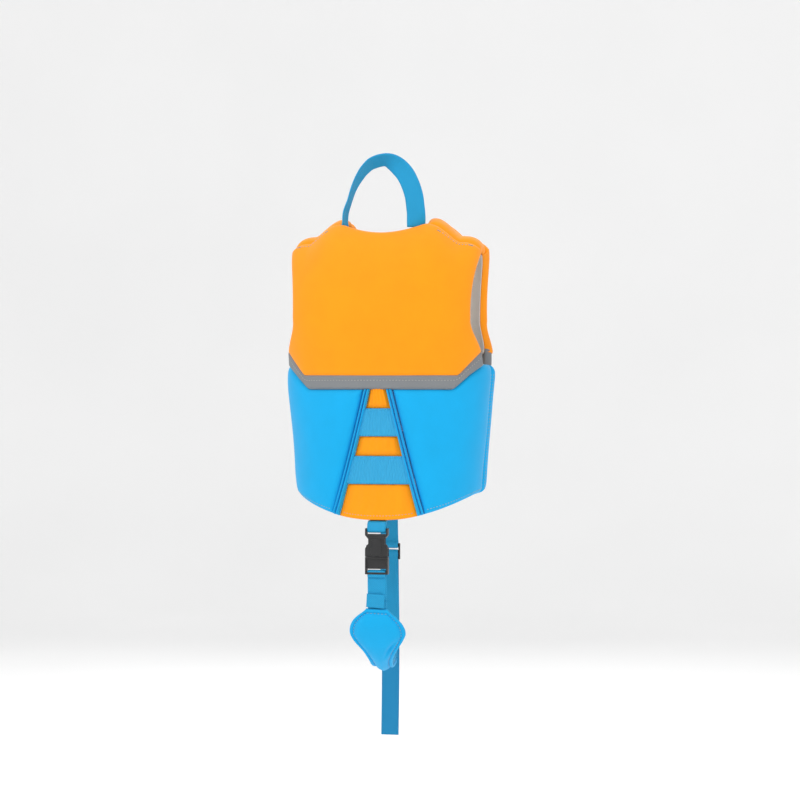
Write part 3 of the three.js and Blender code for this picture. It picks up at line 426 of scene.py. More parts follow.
def inflate(piece, cap, frames=14):
    """Lets air pressure and cloth tension round a pad, then keeps each point within a cap."""
    start = [v.co.copy() for v in piece.data.vertices]
    cloth = piece.modifiers.new("swell", "CLOTH")
    settings = cloth.settings
    settings.quality = 4
    settings.mass = 0.3
    settings.tension_stiffness = 25
    settings.compression_stiffness = 20
    settings.bending_stiffness = 2
    settings.use_pressure = True
    settings.uniform_pressure_force = 4
    settings.vertex_group_mass = "seam"
    settings.effector_weights.gravity = 0
    cloth.collision_settings.use_collision = False
    cloth.point_cache.frame_start = 1
    cloth.point_cache.frame_end = frames
    scene = bpy.context.scene
    for step in range(1, frames + 1):
        scene.frame_set(step)
    shape = piece.evaluated_get(bpy.context.evaluated_depsgraph_get()).to_mesh()
    moved = [v.co.copy() for v in shape.vertices]
    piece.modifiers.remove(cloth)
    scene.frame_set(1)
    for vertex, before, after in zip(piece.data.vertices, start, moved):
        step = after - before
        if step.length > cap:
            step *= cap / step.length
        vertex.co = before + step
    piece.data.update()


def subdivide(piece, levels=1):
    bpy.context.view_layer.objects.active = piece
    finer = piece.modifiers.new("finer", "SUBSURF")
    finer.levels = levels
    finer.render_levels = levels
    with bpy.context.temp_override(object=piece, active_object=piece, selected_objects=[piece]):
        bpy.ops.object.modifier_apply(modifier=finer.name)
    piece.data.shade_smooth()


# ---- Webbing, stitching and rounded hardware ----

def curve_through(rows, step=0.002):
    """A smooth centripetal curve through the rows, as evenly spaced points."""
    rows = np.asarray(rows, float)
    ends = [2 * rows[0] - rows[1], *rows, 2 * rows[-1] - rows[-2]]
    fine = []
    for p0, p1, p2, p3 in zip(ends, ends[1:], ends[2:], ends[3:]):
        t1 = max(np.linalg.norm(p1 - p0), 1e-6) ** 0.5
        t2 = t1 + max(np.linalg.norm(p2 - p1), 1e-6) ** 0.5
        t3 = t2 + max(np.linalg.norm(p3 - p2), 1e-6) ** 0.5
        for t in np.linspace(t1, t2, 24, endpoint=False):
            a1 = p0 * (t1 - t) / t1 + p1 * t / t1
            a2 = p1 * (t2 - t) / (t2 - t1) + p2 * (t - t1) / (t2 - t1)
            a3 = p2 * (t3 - t) / (t3 - t2) + p3 * (t - t2) / (t3 - t2)
            b1 = a1 * (t2 - t) / t2 + a2 * t / t2
            b2 = a2 * (t3 - t) / (t3 - t1) + a3 * (t - t1) / (t3 - t1)
            fine.append(b1 * (t2 - t) / (t2 - t1) + b2 * (t - t1) / (t2 - t1))
    return even_points(np.array([*fine, rows[-1]]), step)


def even_points(points, step):
    """The same line with its points a given step apart."""
    run = np.concatenate([[0], np.cumsum(np.linalg.norm(np.diff(points, axis=0), axis=1))])
    count = max(int(round(run[-1] / step)), 2)
    at = np.linspace(0, run[-1], count + 1)
    return np.stack([np.interp(at, run, points[:, k]) for k in range(3)], axis=1)


def frames_along(path, widths):
    """The direction, the width and the face of a ribbon at each point of its path."""
    along = np.gradient(path, axis=0)
    along /= np.linalg.norm(along, axis=1, keepdims=True)
    side = np.broadcast_to(np.asarray(widths, float), path.shape).copy()
    side -= along * np.sum(side * along, axis=1, keepdims=True)
    side /= np.linalg.norm(side, axis=1, keepdims=True)
    return along, side, np.cross(along, side)


def ribbon(name, path, widths, width=WEBBING_WIDTH, thickness=WEBBING, cup=0.0, ridge_count=0):
    """Flat webbing with rounded edges along a path; cup hollows its face, ridges run along it."""
    _, side, face = frames_along(path, widths)
    across = np.linspace(-1, 1, 13 if ridge_count == 0 else 8 * ridge_count + 5)
    edge = np.sqrt(np.clip(1 - np.clip((np.abs(across) - 0.93) / 0.07, 0, 1) ** 2, 0, 1))
    half = thickness / 2 * (0.35 + 0.65 * edge)
    if ridge_count:
        half = half + thickness * 0.16 * (np.cos(across * math.pi * ridge_count) - 1) / 2
    bow = cup * (across ** 2 - 1)
    section = [(x, h + c) for x, h, c in zip(across, half, bow)]
    section += [(x, c - h) for x, h, c in reversed(list(zip(across, half, bow)))]
    section = np.array(section)
    size = len(section)
    points = (path[:, None, :] + side[:, None, :] * (section[None, :, 0, None] * width / 2)
              + face[:, None, :] * section[None, :, 1, None])
    faces = []
    for i in range(len(path) - 1):
        for j in range(size):
            k = (j + 1) % size
            faces.append((i * size + j, i * size + k, (i + 1) * size + k, (i + 1) * size + j))
    faces.append(tuple(range(size)))
    faces.append(tuple((len(path) - 1) * size + j for j in reversed(range(size))))
    piece = mesh_piece(name, points.reshape(-1, 3), faces)
    run = np.concatenate([[0], np.cumsum(np.linalg.norm(np.diff(path, axis=0), axis=1))])
    weave = piece.data.uv_layers.new(name="weave")
    for loop in piece.data.loops:
        row, place = divmod(loop.vertex_index, size)
        weave.data[loop.index].uv = (section[place, 0] * width / 2 + 0.5, run[row] + 0.5)
    return piece


class Dashes:
    """Raised thread stitches, gathered into one mesh."""

    def __init__(self):
        self.points = []
        self.faces = []

    def stitch(self, start, end, up, radius):
        along = end - start
        length = np.linalg.norm(along)
        along = along / length
        up = up - along * np.dot(up, along)
        up /= np.linalg.norm(up)
        side = np.cross(along, up)
        stations = ((0, 0.25, -0.6), (0.14, 0.8, 0.1), (0.5, 1, 0.35), (0.86, 0.8, 0.1), (1, 0.25, -0.6))
        first = len(self.points)
        for share, girth, rise in stations:
            centre = start + along * length * share + up * radius * rise
            for k in range(6):
                turn = k * math.pi / 3
                self.points.append(centre + (side * math.cos(turn) + up * math.sin(turn)) * radius * girth)
        for i in range(len(stations) - 1):
            for k in range(6):
                a, b = first + i * 6 + k, first + i * 6 + (k + 1) % 6
                self.faces.append((a, b, b + 6, a + 6))
        self.faces.append(tuple(first + k for k in reversed(range(6))))
        self.faces.append(tuple(first + 6 * (len(stations) - 1) + k for k in range(6)))

    def row(self, line, ups, pitch=0.0034, length=0.0022, radius=0.00034):
        """Stitches along a line of points whose outward directions are ups."""
        run = np.concatenate([[0], np.cumsum(np.linalg.norm(np.diff(line, axis=0), axis=1))])
        count = max(int(run[-1] / pitch), 1)
        for k in range(count):
            at = (k + 0.5) * run[-1] / count
            spots = [np.array([np.interp(at + s * length / 2, run, line[:, c]) for c in range(3)])
                     for s in (-1, 1)]
            up = np.array([np.interp(at, run, ups[:, c]) for c in range(3)])
            self.stitch(spots[0], spots[1], up, radius)

    def over(self, patch, a, b, lift, **sizes):
        """Stitches along a line of shares a and b over a patch."""
        a, b = np.asarray(a, float), np.asarray(b, float)
        line = patch(a, b, np.zeros_like(a) + lift)
        ups = patch(a, b, np.zeros_like(a) + lift + 0.001) - line
        self.row(line, ups, **sizes)

    def piece(self, name):
        return mesh_piece(name, self.points, self.faces)


def rounded_copy(node, name, radius, segments=2):
    """A copy of a moulded CAD solid with its sharp edges rounded over."""
    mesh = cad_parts[node].data.copy()
    piece = link(name, mesh)
    mesh.materials.clear()
    work = bmesh.new()
    work.from_mesh(mesh)
    bmesh.ops.remove_doubles(work, verts=work.verts, dist=2e-5)
    bmesh.ops.dissolve_limit(work, angle_limit=math.radians(2), verts=work.verts, edges=work.edges)
    sharp = [e for e in work.edges if len(e.link_faces) == 2 and e.calc_face_angle() > math.radians(28)]
    bmesh.ops.bevel(work, geom=sharp, offset=radius, offset_type="OFFSET", segments=segments,
                    profile=0.6, affect="EDGES", clamp_overlap=True)
    bmesh.ops.triangulate(work, faces=work.faces)
    work.to_mesh(mesh)
    work.free()
    mesh.shade_smooth()
    mesh.set_sharp_from_angle(angle=math.radians(40))
    return piece


# ---- Shader effects shared by the materials ----

def new_group(name, inputs, outputs):
    group = bpy.data.node_groups.new(name, "ShaderNodeTree")
    for label, kind, value in inputs:
        socket = group.interface.new_socket(label, in_out="INPUT", socket_type=kind)
        if value is not None:
            socket.default_value = value
    for label, kind in outputs:
        group.interface.new_socket(label, in_out="OUTPUT", socket_type=kind)
    return group, group.nodes.new("NodeGroupInput"), group.nodes.new("NodeGroupOutput")


def math_node(tree, operation, first, second, third=None):
    node = tree.nodes.new("ShaderNodeMath")
    node.operation = operation
    for socket, value in zip(node.inputs, (first, second, third)):
        if value is None:
            continue
        if isinstance(value, (int, float)):
            socket.default_value = value
        else:
            tree.links.new(value, socket)
    return node.outputs[0]


def noise_node(tree, vector, scale, detail, roughness=0.55):
    node = tree.nodes.new("ShaderNodeTexNoise")
    node.inputs["Detail"].default_value = detail
    node.inputs["Roughness"].default_value = roughness
    tree.links.new(vector, node.inputs["Vector"])
    if isinstance(scale, (int, float)):
        node.inputs["Scale"].default_value = scale
    else:
        tree.links.new(scale, node.inputs["Scale"])
    return node.outputs["Fac"]


def tint_node(tree, colour, factor, low, high):
    """The colour darkened or lightened between low and high as factor goes from 0 to 1."""
    ramp = tree.nodes.new("ShaderNodeMapRange")
    ramp.inputs["To Min"].default_value = low
    ramp.inputs["To Max"].default_value = high
    tree.links.new(factor, ramp.inputs["Value"])
    mix = tree.nodes.new("ShaderNodeVectorMath")
    mix.operation = "SCALE"
    tree.links.new(colour, mix.inputs[0])
    tree.links.new(ramp.outputs[0], mix.inputs["Scale"])
    return mix.outputs[0]


def knit_group():
    """The fine jersey face of laminated neoprene, with slow changes of shade and of nap."""
    group, given, out = new_group(
        "Knit face",
        [("Color", "NodeSocketColor", (0.8, 0.8, 0.8, 1)), ("Stitch size", "NodeSocketFloat", 0.0007),
         ("Shade change", "NodeSocketFloat", 0.06), ("Nap", "NodeSocketFloat", 0.05)],
        [("Color", "NodeSocketColor"), ("Roughness", "NodeSocketFloat"), ("Height", "NodeSocketFloat")],
    )
    place = group.nodes.new("ShaderNodeTexCoord").outputs["Object"]
    scale = math_node(group, "DIVIDE", 1.0, given.outputs["Stitch size"])
    cells = group.nodes.new("ShaderNodeTexVoronoi")
    group.links.new(place, cells.inputs["Vector"])
    group.links.new(scale, cells.inputs["Scale"])
    fuzz = noise_node(group, place, math_node(group, "MULTIPLY", scale, 0.45), 4)
    slow = noise_node(group, place, 14.0, 3)
    blotch = noise_node(group, place, 55.0, 2)
    height = math_node(group, "MULTIPLY_ADD", cells.outputs["Distance"], -0.6, fuzz)
    shade = math_node(group, "MULTIPLY_ADD", slow, 0.6, math_node(group, "MULTIPLY", blotch, 0.25))
    shade = math_node(group, "MULTIPLY_ADD", fuzz, 0.3, shade)
    centred = math_node(group, "SUBTRACT", shade, 0.575)
    amount = math_node(group, "MULTIPLY", centred, given.outputs["Shade change"])
    factor = math_node(group, "MULTIPLY_ADD", amount, 4.0, 1.0)
    scaled = group.nodes.new("ShaderNodeVectorMath")
    scaled.operation = "SCALE"
    group.links.new(given.outputs["Color"], scaled.inputs[0])
    group.links.new(factor, scaled.inputs["Scale"])
    rough = math_node(group, "MULTIPLY_ADD", fuzz, given.outputs["Nap"], 0.72)
    group.links.new(scaled.outputs[0], out.inputs["Color"])
    group.links.new(rough, out.inputs["Roughness"])
    group.links.new(height, out.inputs["Height"])
    return group


def weave_group():
    """A woven band: yarns run along it and cross over it, laid out on the piece's own metre map; painted
    shade darkens the grooves between yarns.
    """
    group, given, out = new_group(
        "Woven band",
        [("Color", "NodeSocketColor", (0.5, 0.5, 0.5, 1)), ("Yarn", "NodeSocketFloat", 0.0009),
         ("Pick", "NodeSocketFloat", 0.0024), ("Depth", "NodeSocketFloat", 0.5)],
        [("Color", "NodeSocketColor"), ("Roughness", "NodeSocketFloat"), ("Height", "NodeSocketFloat")],
    )
    uv = group.nodes.new("ShaderNodeUVMap")
    uv.uv_map = "weave"
    split = group.nodes.new("ShaderNodeSeparateXYZ")
    group.links.new(uv.outputs[0], split.inputs[0])
    across = math_node(group, "DIVIDE", split.outputs[0], given.outputs["Yarn"])
    along = math_node(group, "DIVIDE", split.outputs[1], given.outputs["Pick"])
    twill = math_node(group, "MULTIPLY_ADD", math_node(group, "FLOOR", across, None), 0.5, along)
    turned = math_node(group, "MULTIPLY", across, math.pi)
    yarn = math_node(group, "ABSOLUTE", math_node(group, "SINE", turned, None), None)
    pick = math_node(group, "SINE", math_node(group, "MULTIPLY", twill, 2 * math.pi), None)
    height = math_node(group, "MULTIPLY_ADD", pick, 0.35, yarn)
    place = group.nodes.new("ShaderNodeTexCoord").outputs["Object"]
    fuzz = noise_node(group, place, 900.0, 3)
    height = math_node(group, "MULTIPLY_ADD", fuzz, 0.5, height)
    # The colour follows the weave's height: painted shade darkens the low grooves, and the fuzz adds random
    # tone.
    level = math_node(group, "MULTIPLY", height, 0.55)
    unshaded_part = math_node(group, "SUBTRACT", 1.0, given.outputs["Depth"])
    factor = math_node(group, "MULTIPLY_ADD", level, given.outputs["Depth"], unshaded_part)
    scaled = group.nodes.new("ShaderNodeVectorMath")
    scaled.operation = "SCALE"
    group.links.new(given.outputs["Color"], scaled.inputs[0])
    group.links.new(factor, scaled.inputs["Scale"])
    rough = math_node(group, "MULTIPLY_ADD", fuzz, 0.2, 0.5)
    group.links.new(scaled.outputs[0], out.inputs["Color"])
    group.links.new(rough, out.inputs["Roughness"])
    group.links.new(height, out.inputs["Height"])
    return group


def grain_group():
    """Spark-eroded grain and faint handling scuffs on moulded plastic or plated metal."""
    group, given, out = new_group(
        "Moulded grain",
        [("Color", "NodeSocketColor", (0.02, 0.02, 0.02, 1)), ("Grain size", "NodeSocketFloat", 0.0005),
         ("Roughness", "NodeSocketFloat", 0.4), ("Scuffs", "NodeSocketFloat", 0.15)],
        [("Color", "NodeSocketColor"), ("Roughness", "NodeSocketFloat"), ("Height", "NodeSocketFloat")],
    )
    place = group.nodes.new("ShaderNodeTexCoord").outputs["Object"]
    grain = noise_node(group, place, math_node(group, "DIVIDE", 1.0, given.outputs["Grain size"]), 2)
    scuff = noise_node(group, place, 160.0, 6, 0.7)
    marks = math_node(group, "POWER", scuff, 3.0)
    rough = math_node(group, "MULTIPLY_ADD", marks, given.outputs["Scuffs"], given.outputs["Roughness"])
    colour = tint_node(group, given.outputs["Color"], scuff, 0.8, 1.3)
    group.links.new(colour, out.inputs["Color"])
    group.links.new(rough, out.inputs["Roughness"])
    group.links.new(grain, out.inputs["Height"])
    return group


def material(name, group, colour, values, bump, fixed):
    """A Principled material fed by one effect group; fixed holds the sockets with one value all over."""
    made = bpy.data.materials.new(name)
    made.use_nodes = True
    tree = made.node_tree
    shader = next(n for n in tree.nodes if n.type == "BSDF_PRINCIPLED")
    effect = tree.nodes.new("ShaderNodeGroup")
    effect.node_tree = group
    effect.inputs["Color"].default_value = (*colour[:3], 1.0)
    for label, value in values.items():
        effect.inputs[label].default_value = value
    relief = tree.nodes.new("ShaderNodeBump")
    relief.inputs["Strength"].default_value = bump[0]
    relief.inputs["Distance"].default_value = bump[1]
    tree.links.new(effect.outputs["Height"], relief.inputs["Height"])
    tree.links.new(effect.outputs["Color"], shader.inputs["Base Color"])
    tree.links.new(effect.outputs["Roughness"], shader.inputs["Roughness"])
    tree.links.new(relief.outputs["Normal"], shader.inputs["Normal"])
    for label, value in fixed.items():
        shader.inputs[label].default_value = value
    made.diffuse_color = (*colour[:3], 1.0)
    return made


SOFT_SHEEN = {"Specular IOR Level": 0.25, "Sheen Weight": 0.12, "Sheen Roughness": 0.5}


def make_materials(colours):
    """Every finish of the vest, by the slot name that the record gives it."""
    knit, weave, grain = knit_group(), weave_group(), grain_group()
    cloth = (0.35, 0.0002)
    band = (0.6, 0.0003)

    def neoprene(name, colour, **fixed):
        return material(name, knit, colour, {}, cloth, {**SOFT_SHEEN, **fixed})

    def webbing(name, colour, **values):
        return material(name, weave, colour, values, band, {"Specular IOR Level": 0.35})

    def moulded(name, colour, bump, **fixed):
        return material(name, grain, colour, {}, bump, fixed)

    return {
        "orange_neoprene": neoprene("Orange neoprene", colours.orange),
        "blue_neoprene": neoprene("Blue neoprene", colours.blue),
        "grey_neoprene": neoprene("Grey neoprene", colours.grey),
        "piping": neoprene("Blue rolled piping", colours.piping),
        "blue_webbing": webbing("Blue webbing", colours.webbing),
        # The strap end's finish is the webbing blue darkened: painted shade for the end that hangs in shade.
        "tail_webbing_painted_shade": webbing("Blue strap end with painted shade", colours.tail),
        "blue_elastic": webbing("Ribbed elastic", colours.elastic, Yarn=0.0013, Pick=0.0009, Depth=0.25),
        "lining": neoprene("Pale lining", colours.lining),
        "thread": webbing("Sewing thread", colours.thread),
        "zip_tape": webbing("Zip tape", colours.tape),
        "black_plastic": moulded("Black moulded plastic", colours.plastic, (0.12, 0.00008)),
        "zip_teeth": moulded("Zip teeth", colours.plastic, (0.08, 0.00005)),
        "zip_metal": moulded("Zip metal", colours.metal, (0.05, 0.00004), Metallic=0.9),
    }


FINISHES = {}


def finish_with(piece, finish, body="vest"):
    piece.data.materials.clear()
    piece.data.materials.append(FINISHES[finish])
    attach(piece, body)
    return piece


# ---- Routes of the webbing, in metres ----

BACK_THICK = 0.015
FRONT_THICK = 0.018
SHOULDER_THICK = 0.010
WAIST_BACK_THICK = 0.0125
WAIST_FRONT_THICK = 0.016
STRAP_ROOM = 0.001
SLACK_FROM = 0.050
CROTCH_SLACK_POINTS = 10
TRIM_THICK = 0.0105
GUSSET_THICK = 0.006
BUCKLE_THICK = 0.0084
BUCKLE_LENGTH = 0.0486
BUCKLE_BAR = 0.0022
BUCKLE_START = -BUCKLE_LENGTH / 2
BUCKLE_PLANE = -(FRONT_DEPTH + WAIST_FRONT_THICK + 0.0003 + BUCKLE_THICK / 2)
STRAP_LIFT = WAIST_FRONT_THICK + WEBBING / 2 + 0.00095
STRAP_LEVELS = {"chest": -0.185, "waist": -0.232}
ELASTIC_LEVELS = {"upper": -0.205, "lower": -0.256}
ELASTIC_WIDTH = 0.030
RELEASE_TRAVEL = 0.014
CROTCH_START = HEM_BACK - 0.008
CROTCH_Y = 0.076
GLIDE_X = 0.017
GLIDE_Y = -0.084
GLIDE_LEVEL = HEM_FRONT - 0.048
GLIDE_SLOT_LEVEL = GLIDE_LEVEL - 0.00375
STRAP_TOP = CROTCH_START - 0.0471
STRAP_LOW = CROTCH_START - BUCKLE_LENGTH - 0.103
UP = (0, 0, 1)
SIDEWAYS = (1, 0, 0)


def bar_loop(bar, return_length):
    """Webbing round a bar: distance along and across, with the bar's outer edge at 0."""
    reach, layer, turn, bevel = 0.0027, 0.0011, bar + 0.0015, 0.0013
    return [
        (-0.0055, layer), (-0.0017, reach), (turn - bevel, reach), (turn, reach - bevel),
        (turn, -reach + bevel), (turn - bevel, -reach), (-0.0017, -reach), (-0.0055, -layer),
        (-0.0055 - return_length, -layer),
    ]


def bar_wrap(bar):
    """A short turn of webbing round a bar, which closes on the strap beside it."""
    return [(-0.0030, 0.0019), *bar_loop(bar, 0)[1:-2], (-0.0030, -0.0019)]


def strap_on_belt(side, level):
    """Where a front strap lies on the belt, from its sewn end to where it lifts off."""
    angles = np.linspace(psi_at(0.085, level), psi_at(0.052, level), 7)
    return [on_belt(side * (math.pi - psi), np.asarray(level), np.asarray(STRAP_LIFT)) for psi in angles]


def crotch_rows():
    def drop(share):
        return lerp(STRAP_TOP, STRAP_LOW, share)

    back = CROTCH_Y
    front = GLIDE_Y + 0.0015 + WEBBING / 2 + 0.0004
    return [
        (0, back, STRAP_TOP), (0, back, STRAP_TOP - 0.012), (0, back - 0.001, drop(0.3)),
        (0.001, back - 0.008, drop(0.55)), (0.002, back - 0.024, drop(0.8)),
        (0.004, back - 0.050, drop(0.96)), (0.006, 0, STRAP_LOW), (0.009, front * 0.36, drop(0.96)),
        (0.012, front * 0.68, drop(0.8)), (0.014, front * 0.9, drop(0.5)),
        (GLIDE_X, front, GLIDE_LEVEL - 0.0205), (GLIDE_X, front, GLIDE_SLOT_LEVEL - 0.0015),
    ]


TAIL_Y = GLIDE_Y - 0.0015 - WEBBING / 2 - 0.0004
TAIL_ROUTE = [
    (GLIDE_X, TAIL_Y, GLIDE_SLOT_LEVEL - 0.003), (GLIDE_X, TAIL_Y, GLIDE_SLOT_LEVEL - 0.012),
    (GLIDE_X, TAIL_Y - 0.002, GLIDE_SLOT_LEVEL - 0.045), (GLIDE_X, TAIL_Y - 0.005, GLIDE_SLOT_LEVEL - 0.090),
    (GLIDE_X, TAIL_Y - 0.004, GLIDE_SLOT_LEVEL - 0.150), (GLIDE_X, TAIL_Y, GLIDE_SLOT_LEVEL - 0.212),
]

# The grab loop: share across, share of the height, and the direction of the webbing's width.
LOOP_SEAT = (-0.15, 0.8, 0.57)
LOOP_ROWS = [
    (0.99, 0.2, (0.05, 1, 0.15)), (0.935, 0.385, (0, 1, 0.1)), (0.875, 0.58, (0, 0.97, 0.25)),
    (0.8, 0.74, (0, 0.9, 0.4)), (0.72, 0.86, (-0.05, 0.85, 0.5)), (0.62, 0.95, LOOP_SEAT),
    (0.46, 1, LOOP_SEAT), (0.34, 0.965, (-0.45, 0.5, 0.72)), (0.24, 0.89, (-0.7, 0.2, 0.7)),
    (0.15, 0.78, (-0.8, 0.05, 0.6)), (0.08, 0.63, (-0.9, 0, 0.42)), (0.03, 0.46, (-0.96, 0, 0.22)),
    (0.01, 0.3, (-1, 0, 0.1)), (0, 0.2, (-1, 0, 0.1)),
]
LOOP_TOP = 0.076


def loop_route():
    def foot(x, lift=0.006):
        return on_torso(back_top(x) + 0.0022, np.asarray(x), np.asarray(lift))

    left, right = foot(0.043), foot(-0.035)
    rows = [left]
    for across, height, _ in LOOP_ROWS:
        point = lerp(right, left, across)
        rows.append(np.array([point[0], point[1], lerp(point[2], LOOP_TOP, height)]))
    widths = [foot(0.043, 0.001) - foot(0.043, 0), *[np.array(row[2]) for row in LOOP_ROWS],
              foot(-0.043) - foot(-0.027)]
    widths = [w / np.linalg.norm(w) for w in widths]
    return [*rows, right], widths


def guided_ribbon(name, rows, widths, step=0.002, **sizes):
    """Webbing through rows of points, each with its own direction of width."""
    rows = np.asarray(rows, float)
    path = curve_through(rows, step)
    at_rows = np.concatenate([[0], np.cumsum(np.linalg.norm(np.diff(rows, axis=0), axis=1))])
    at_path = np.linspace(0, at_rows[-1], len(path))
    widths = np.asarray(widths, float)
    turned = np.stack([np.interp(at_path, at_rows, widths[:, k]) for k in range(3)], axis=1)
    return ribbon(name, path, turned, **sizes)


def patch_extent(patch, count=24):
    """The greatest width, the greatest length and the area of a patch laid flat."""
    a, b = np.meshgrid(np.linspace(0, 1, count), np.linspace(0, 1, count), indexing="ij")
    base = patch(a, b, np.full_like(a, 0.0006))
    du, dv = np.diff(base, axis=0), np.diff(base, axis=1)
    width = np.linalg.norm(du, axis=2).sum(axis=0).max()
    length = np.linalg.norm(dv, axis=2).sum(axis=1).max()
    area = np.linalg.norm(np.cross(du[:, :-1], dv[:-1]), axis=2).sum()
    return float(width), float(length), float(area)


def lay_sheet(patch):
    width, length, area = patch_extent(patch)


# ---- Sizes and colours that a user would change ----

def colour_property(label, about, value):
    return bpy.props.FloatVectorProperty(name=label, description=about, default=value, subtype="COLOR",
                                         size=3, min=0, max=1)


def length_property(label, about, value, low, high):
    return bpy.props.FloatProperty(name=label, description=about, default=value, min=low, max=high,
                                   subtype="DISTANCE", unit="LENGTH", precision=4)


class VestColours(bpy.types.PropertyGroup):
    """Colours of the vest's fabrics and hardware."""

    orange: colour_property("Orange neoprene", "Upper back, shoulders and chest", (1.0, 0.315, 0.0))
    blue: colour_property("Blue neoprene", "Waist belt and crotch pad", (0.0, 0.385, 0.76))
    grey: colour_property("Grey neoprene", "Band between the upper panels and the belt", (0.21, 0.22, 0.23))
    piping: colour_property("Piping", "Rolled edges of the stretch gusset", (0.0, 0.36, 0.72))
    webbing: colour_property("Webbing", "Grab loop, straps and tabs", (0.01, 0.42, 0.80))
    # The strap end colour is the webbing blue darkened as painted shade.
    tail: colour_property("Strap end", "The crotch strap's spare end", (0.005, 0.30, 0.62))
    elastic: colour_property("Elastic", "Two ribbed bands over the gusset", (0.03, 0.42, 0.76))
    lining: colour_property("Lining", "Inner face of the panels", (0.70, 0.68, 0.64))
    thread: colour_property("Thread", "Visible seams", (0.62, 0.62, 0.58))
    tape: colour_property("Zip tape", "Fabric that carries the zip's teeth", (0.012, 0.012, 0.014))
    plastic: colour_property("Plastic", "Buckles, glide and zip teeth", (0.012, 0.012, 0.013))
    metal: colour_property("Metal", "Zip slider and its pull", (0.10, 0.10, 0.11))


class VestSizes(bpy.types.PropertyGroup):
    """Sizes of the soft detail, laid over the fixed frame."""

    back_crown: length_property("Back crown", "How far the upper back's foam bulges", 0.004, 0, 0.01)
    front_crown: length_property("Front crown", "How far the chest's foam bulges", 0.005, 0, 0.01)
    waist_crown: length_property("Waist crown", "How far the belt's foam bulges", 0.003, 0, 0.01)
    unevenness: length_property("Unevenness", "Soft hollows in the padded faces", 0.0012, 0, 0.004)
    rim: length_property("Rim radius", "Rounding of the padded rims", 0.0075, 0.002, 0.015)
    swell: length_property("Swell", "Most that a pad's cloth may move as it is blown up", 0.003, 0, 0.016)
    stitch_pitch: length_property("Stitch pitch", "From one stitch to the next", 0.0034, 0.001, 0.01)
    stitch_length: length_property("Stitch length", "Length of each stitch", 0.0022, 0.0005, 0.008)
    rib_pitch: length_property("Elastic rib pitch", "From one rib to the next", 0.0024, 0.001, 0.01)
    camera_distance: length_property("Camera distance", "From the vest's middle to the camera", 2.4, 1, 10)


def sizes():
    return bpy.context.scene.vest_sizes


def colours():
    return bpy.context.scene.vest_colours


# ---- The stage ----

class VEST_OT_stage(bpy.types.Operator):
    """Pale floor, soft studio light and the camera behind the vest"""

    bl_idname = "vest.stage"
    bl_label = "Stage"

    def execute(self, context):
        scene = context.scene
        low = CAD_BOUNDS[0].z
        self.backdrop(low - 0.30)
        self.lights(scene)
        self.camera(scene)
        return {"FINISHED"}

    def backdrop(self, floor):
        """A floor that sweeps up into a wall on both sides of the vest."""
        reach, rise, bend = 5.0, 5.0, 1.4
        profile = [(-reach, rise), (-reach, bend)]
        turns = [k * math.pi / 16 for k in range(1, 9)]
        profile += [(-reach + bend * (1 - math.cos(t)), bend * (1 - math.sin(t))) for t in turns]
        profile += [(0, 0)] + [(-y, z) for y, z in reversed(profile)]
        points = [(x, y, z + floor) for y, z in profile for x in (-9.0, 9.0)]
        faces = [(2 * k, 2 * k + 1, 2 * k + 3, 2 * k + 2) for k in range(len(profile) - 1)]
        floor_piece = mesh_piece("studio_sweep", points, faces)
        paint = bpy.data.materials.new("Studio white")
        paint.use_nodes = True
        tree = paint.node_tree
        shader = next(n for n in tree.nodes if n.type == "BSDF_PRINCIPLED")
        place = tree.nodes.new("ShaderNodeTexCoord").outputs["Object"]
        mottle = noise_node(tree, place, 1.5, 2)
        base = tree.nodes.new("ShaderNodeCombineXYZ")
        for socket in base.inputs:
            socket.default_value = 0.96
        tree.links.new(tint_node(tree, base.outputs[0], mottle, 0.97, 1.03), shader.inputs["Base Color"])
        shader.inputs["Roughness"].default_value = 0.9
        floor_piece.data.materials.append(paint)

    def lights(self, scene):
        world = bpy.data.worlds.new("Studio air")
        world.use_nodes = True
        air = next(n for n in world.node_tree.nodes if n.type == "BACKGROUND")
        air.inputs["Color"].default_value = (1.0, 1.0, 1.0, 1.0)
        air.inputs["Strength"].default_value = 0.82
        scene.world = world
        scene.view_settings.view_transform = "Standard"
        for name, place, size, watts in (
            ("key_softbox", (1.1, 2.3, 1.9), 1.4, 34),
            ("fill_softbox", (-2.2, 1.5, 0.5), 2.0, 10),
            ("front_softbox", (0.4, -2.4, 1.2), 2.2, 22),
            ("top_softbox", (0.0, 0.3, 2.4), 1.8, 6),
        ):
            lamp = bpy.data.lights.new(name, "AREA")
            lamp.shape = "SQUARE"
            lamp.size = size
            lamp.energy = watts
            holder = bpy.data.objects.new(name, lamp)
            holder.location = place
            aim = Vector((0, 0, -0.15)) - Vector(place)
            holder.rotation_euler = aim.to_track_quat("-Z", "Y").to_euler()
            scene.collection.objects.link(holder)

    def camera(self, scene):
        view = bpy.data.cameras.new("studio_camera")
        view.sensor_width = 36
        view.lens = 99
        view.dof.use_dof = False
        holder = bpy.data.objects.new("studio_camera", view)
        azimuth, elevation = math.radians(190.5), math.radians(0.5)
        away = Vector((math.sin(azimuth) * math.cos(elevation), -math.cos(azimuth) * math.cos(elevation),
                       math.sin(elevation)))
        sideways = Vector((math.cos(azimuth), math.sin(azimuth), 0))
        target = Vector((0, 0, -0.182)) + sideways * 0.0105
        holder.location = target + away * sizes().camera_distance
        holder.rotation_euler = (-away).to_track_quat("-Z", "Y").to_euler()
        scene.collection.objects.link(holder)
        scene.camera = holder


# ---- Webbing ----

class VEST_OT_strap_tail(bpy.types.Operator):
    """The crotch strap's spare end, which hangs from the glide"""

    bl_idname = "vest.strap_tail"
    bl_label = "Strap end"

    def execute(self, context):
        path = curve_through(TAIL_ROUTE)
        # The spare end wears the darker webbing finish, which is painted shade.
        tail = ribbon("tail_webbing_painted_shade", path, SIDEWAYS)
        finish_with(tail, "tail_webbing_painted_shade", "crotch_strap")
        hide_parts("strap_tail")
        return {"FINISHED"}


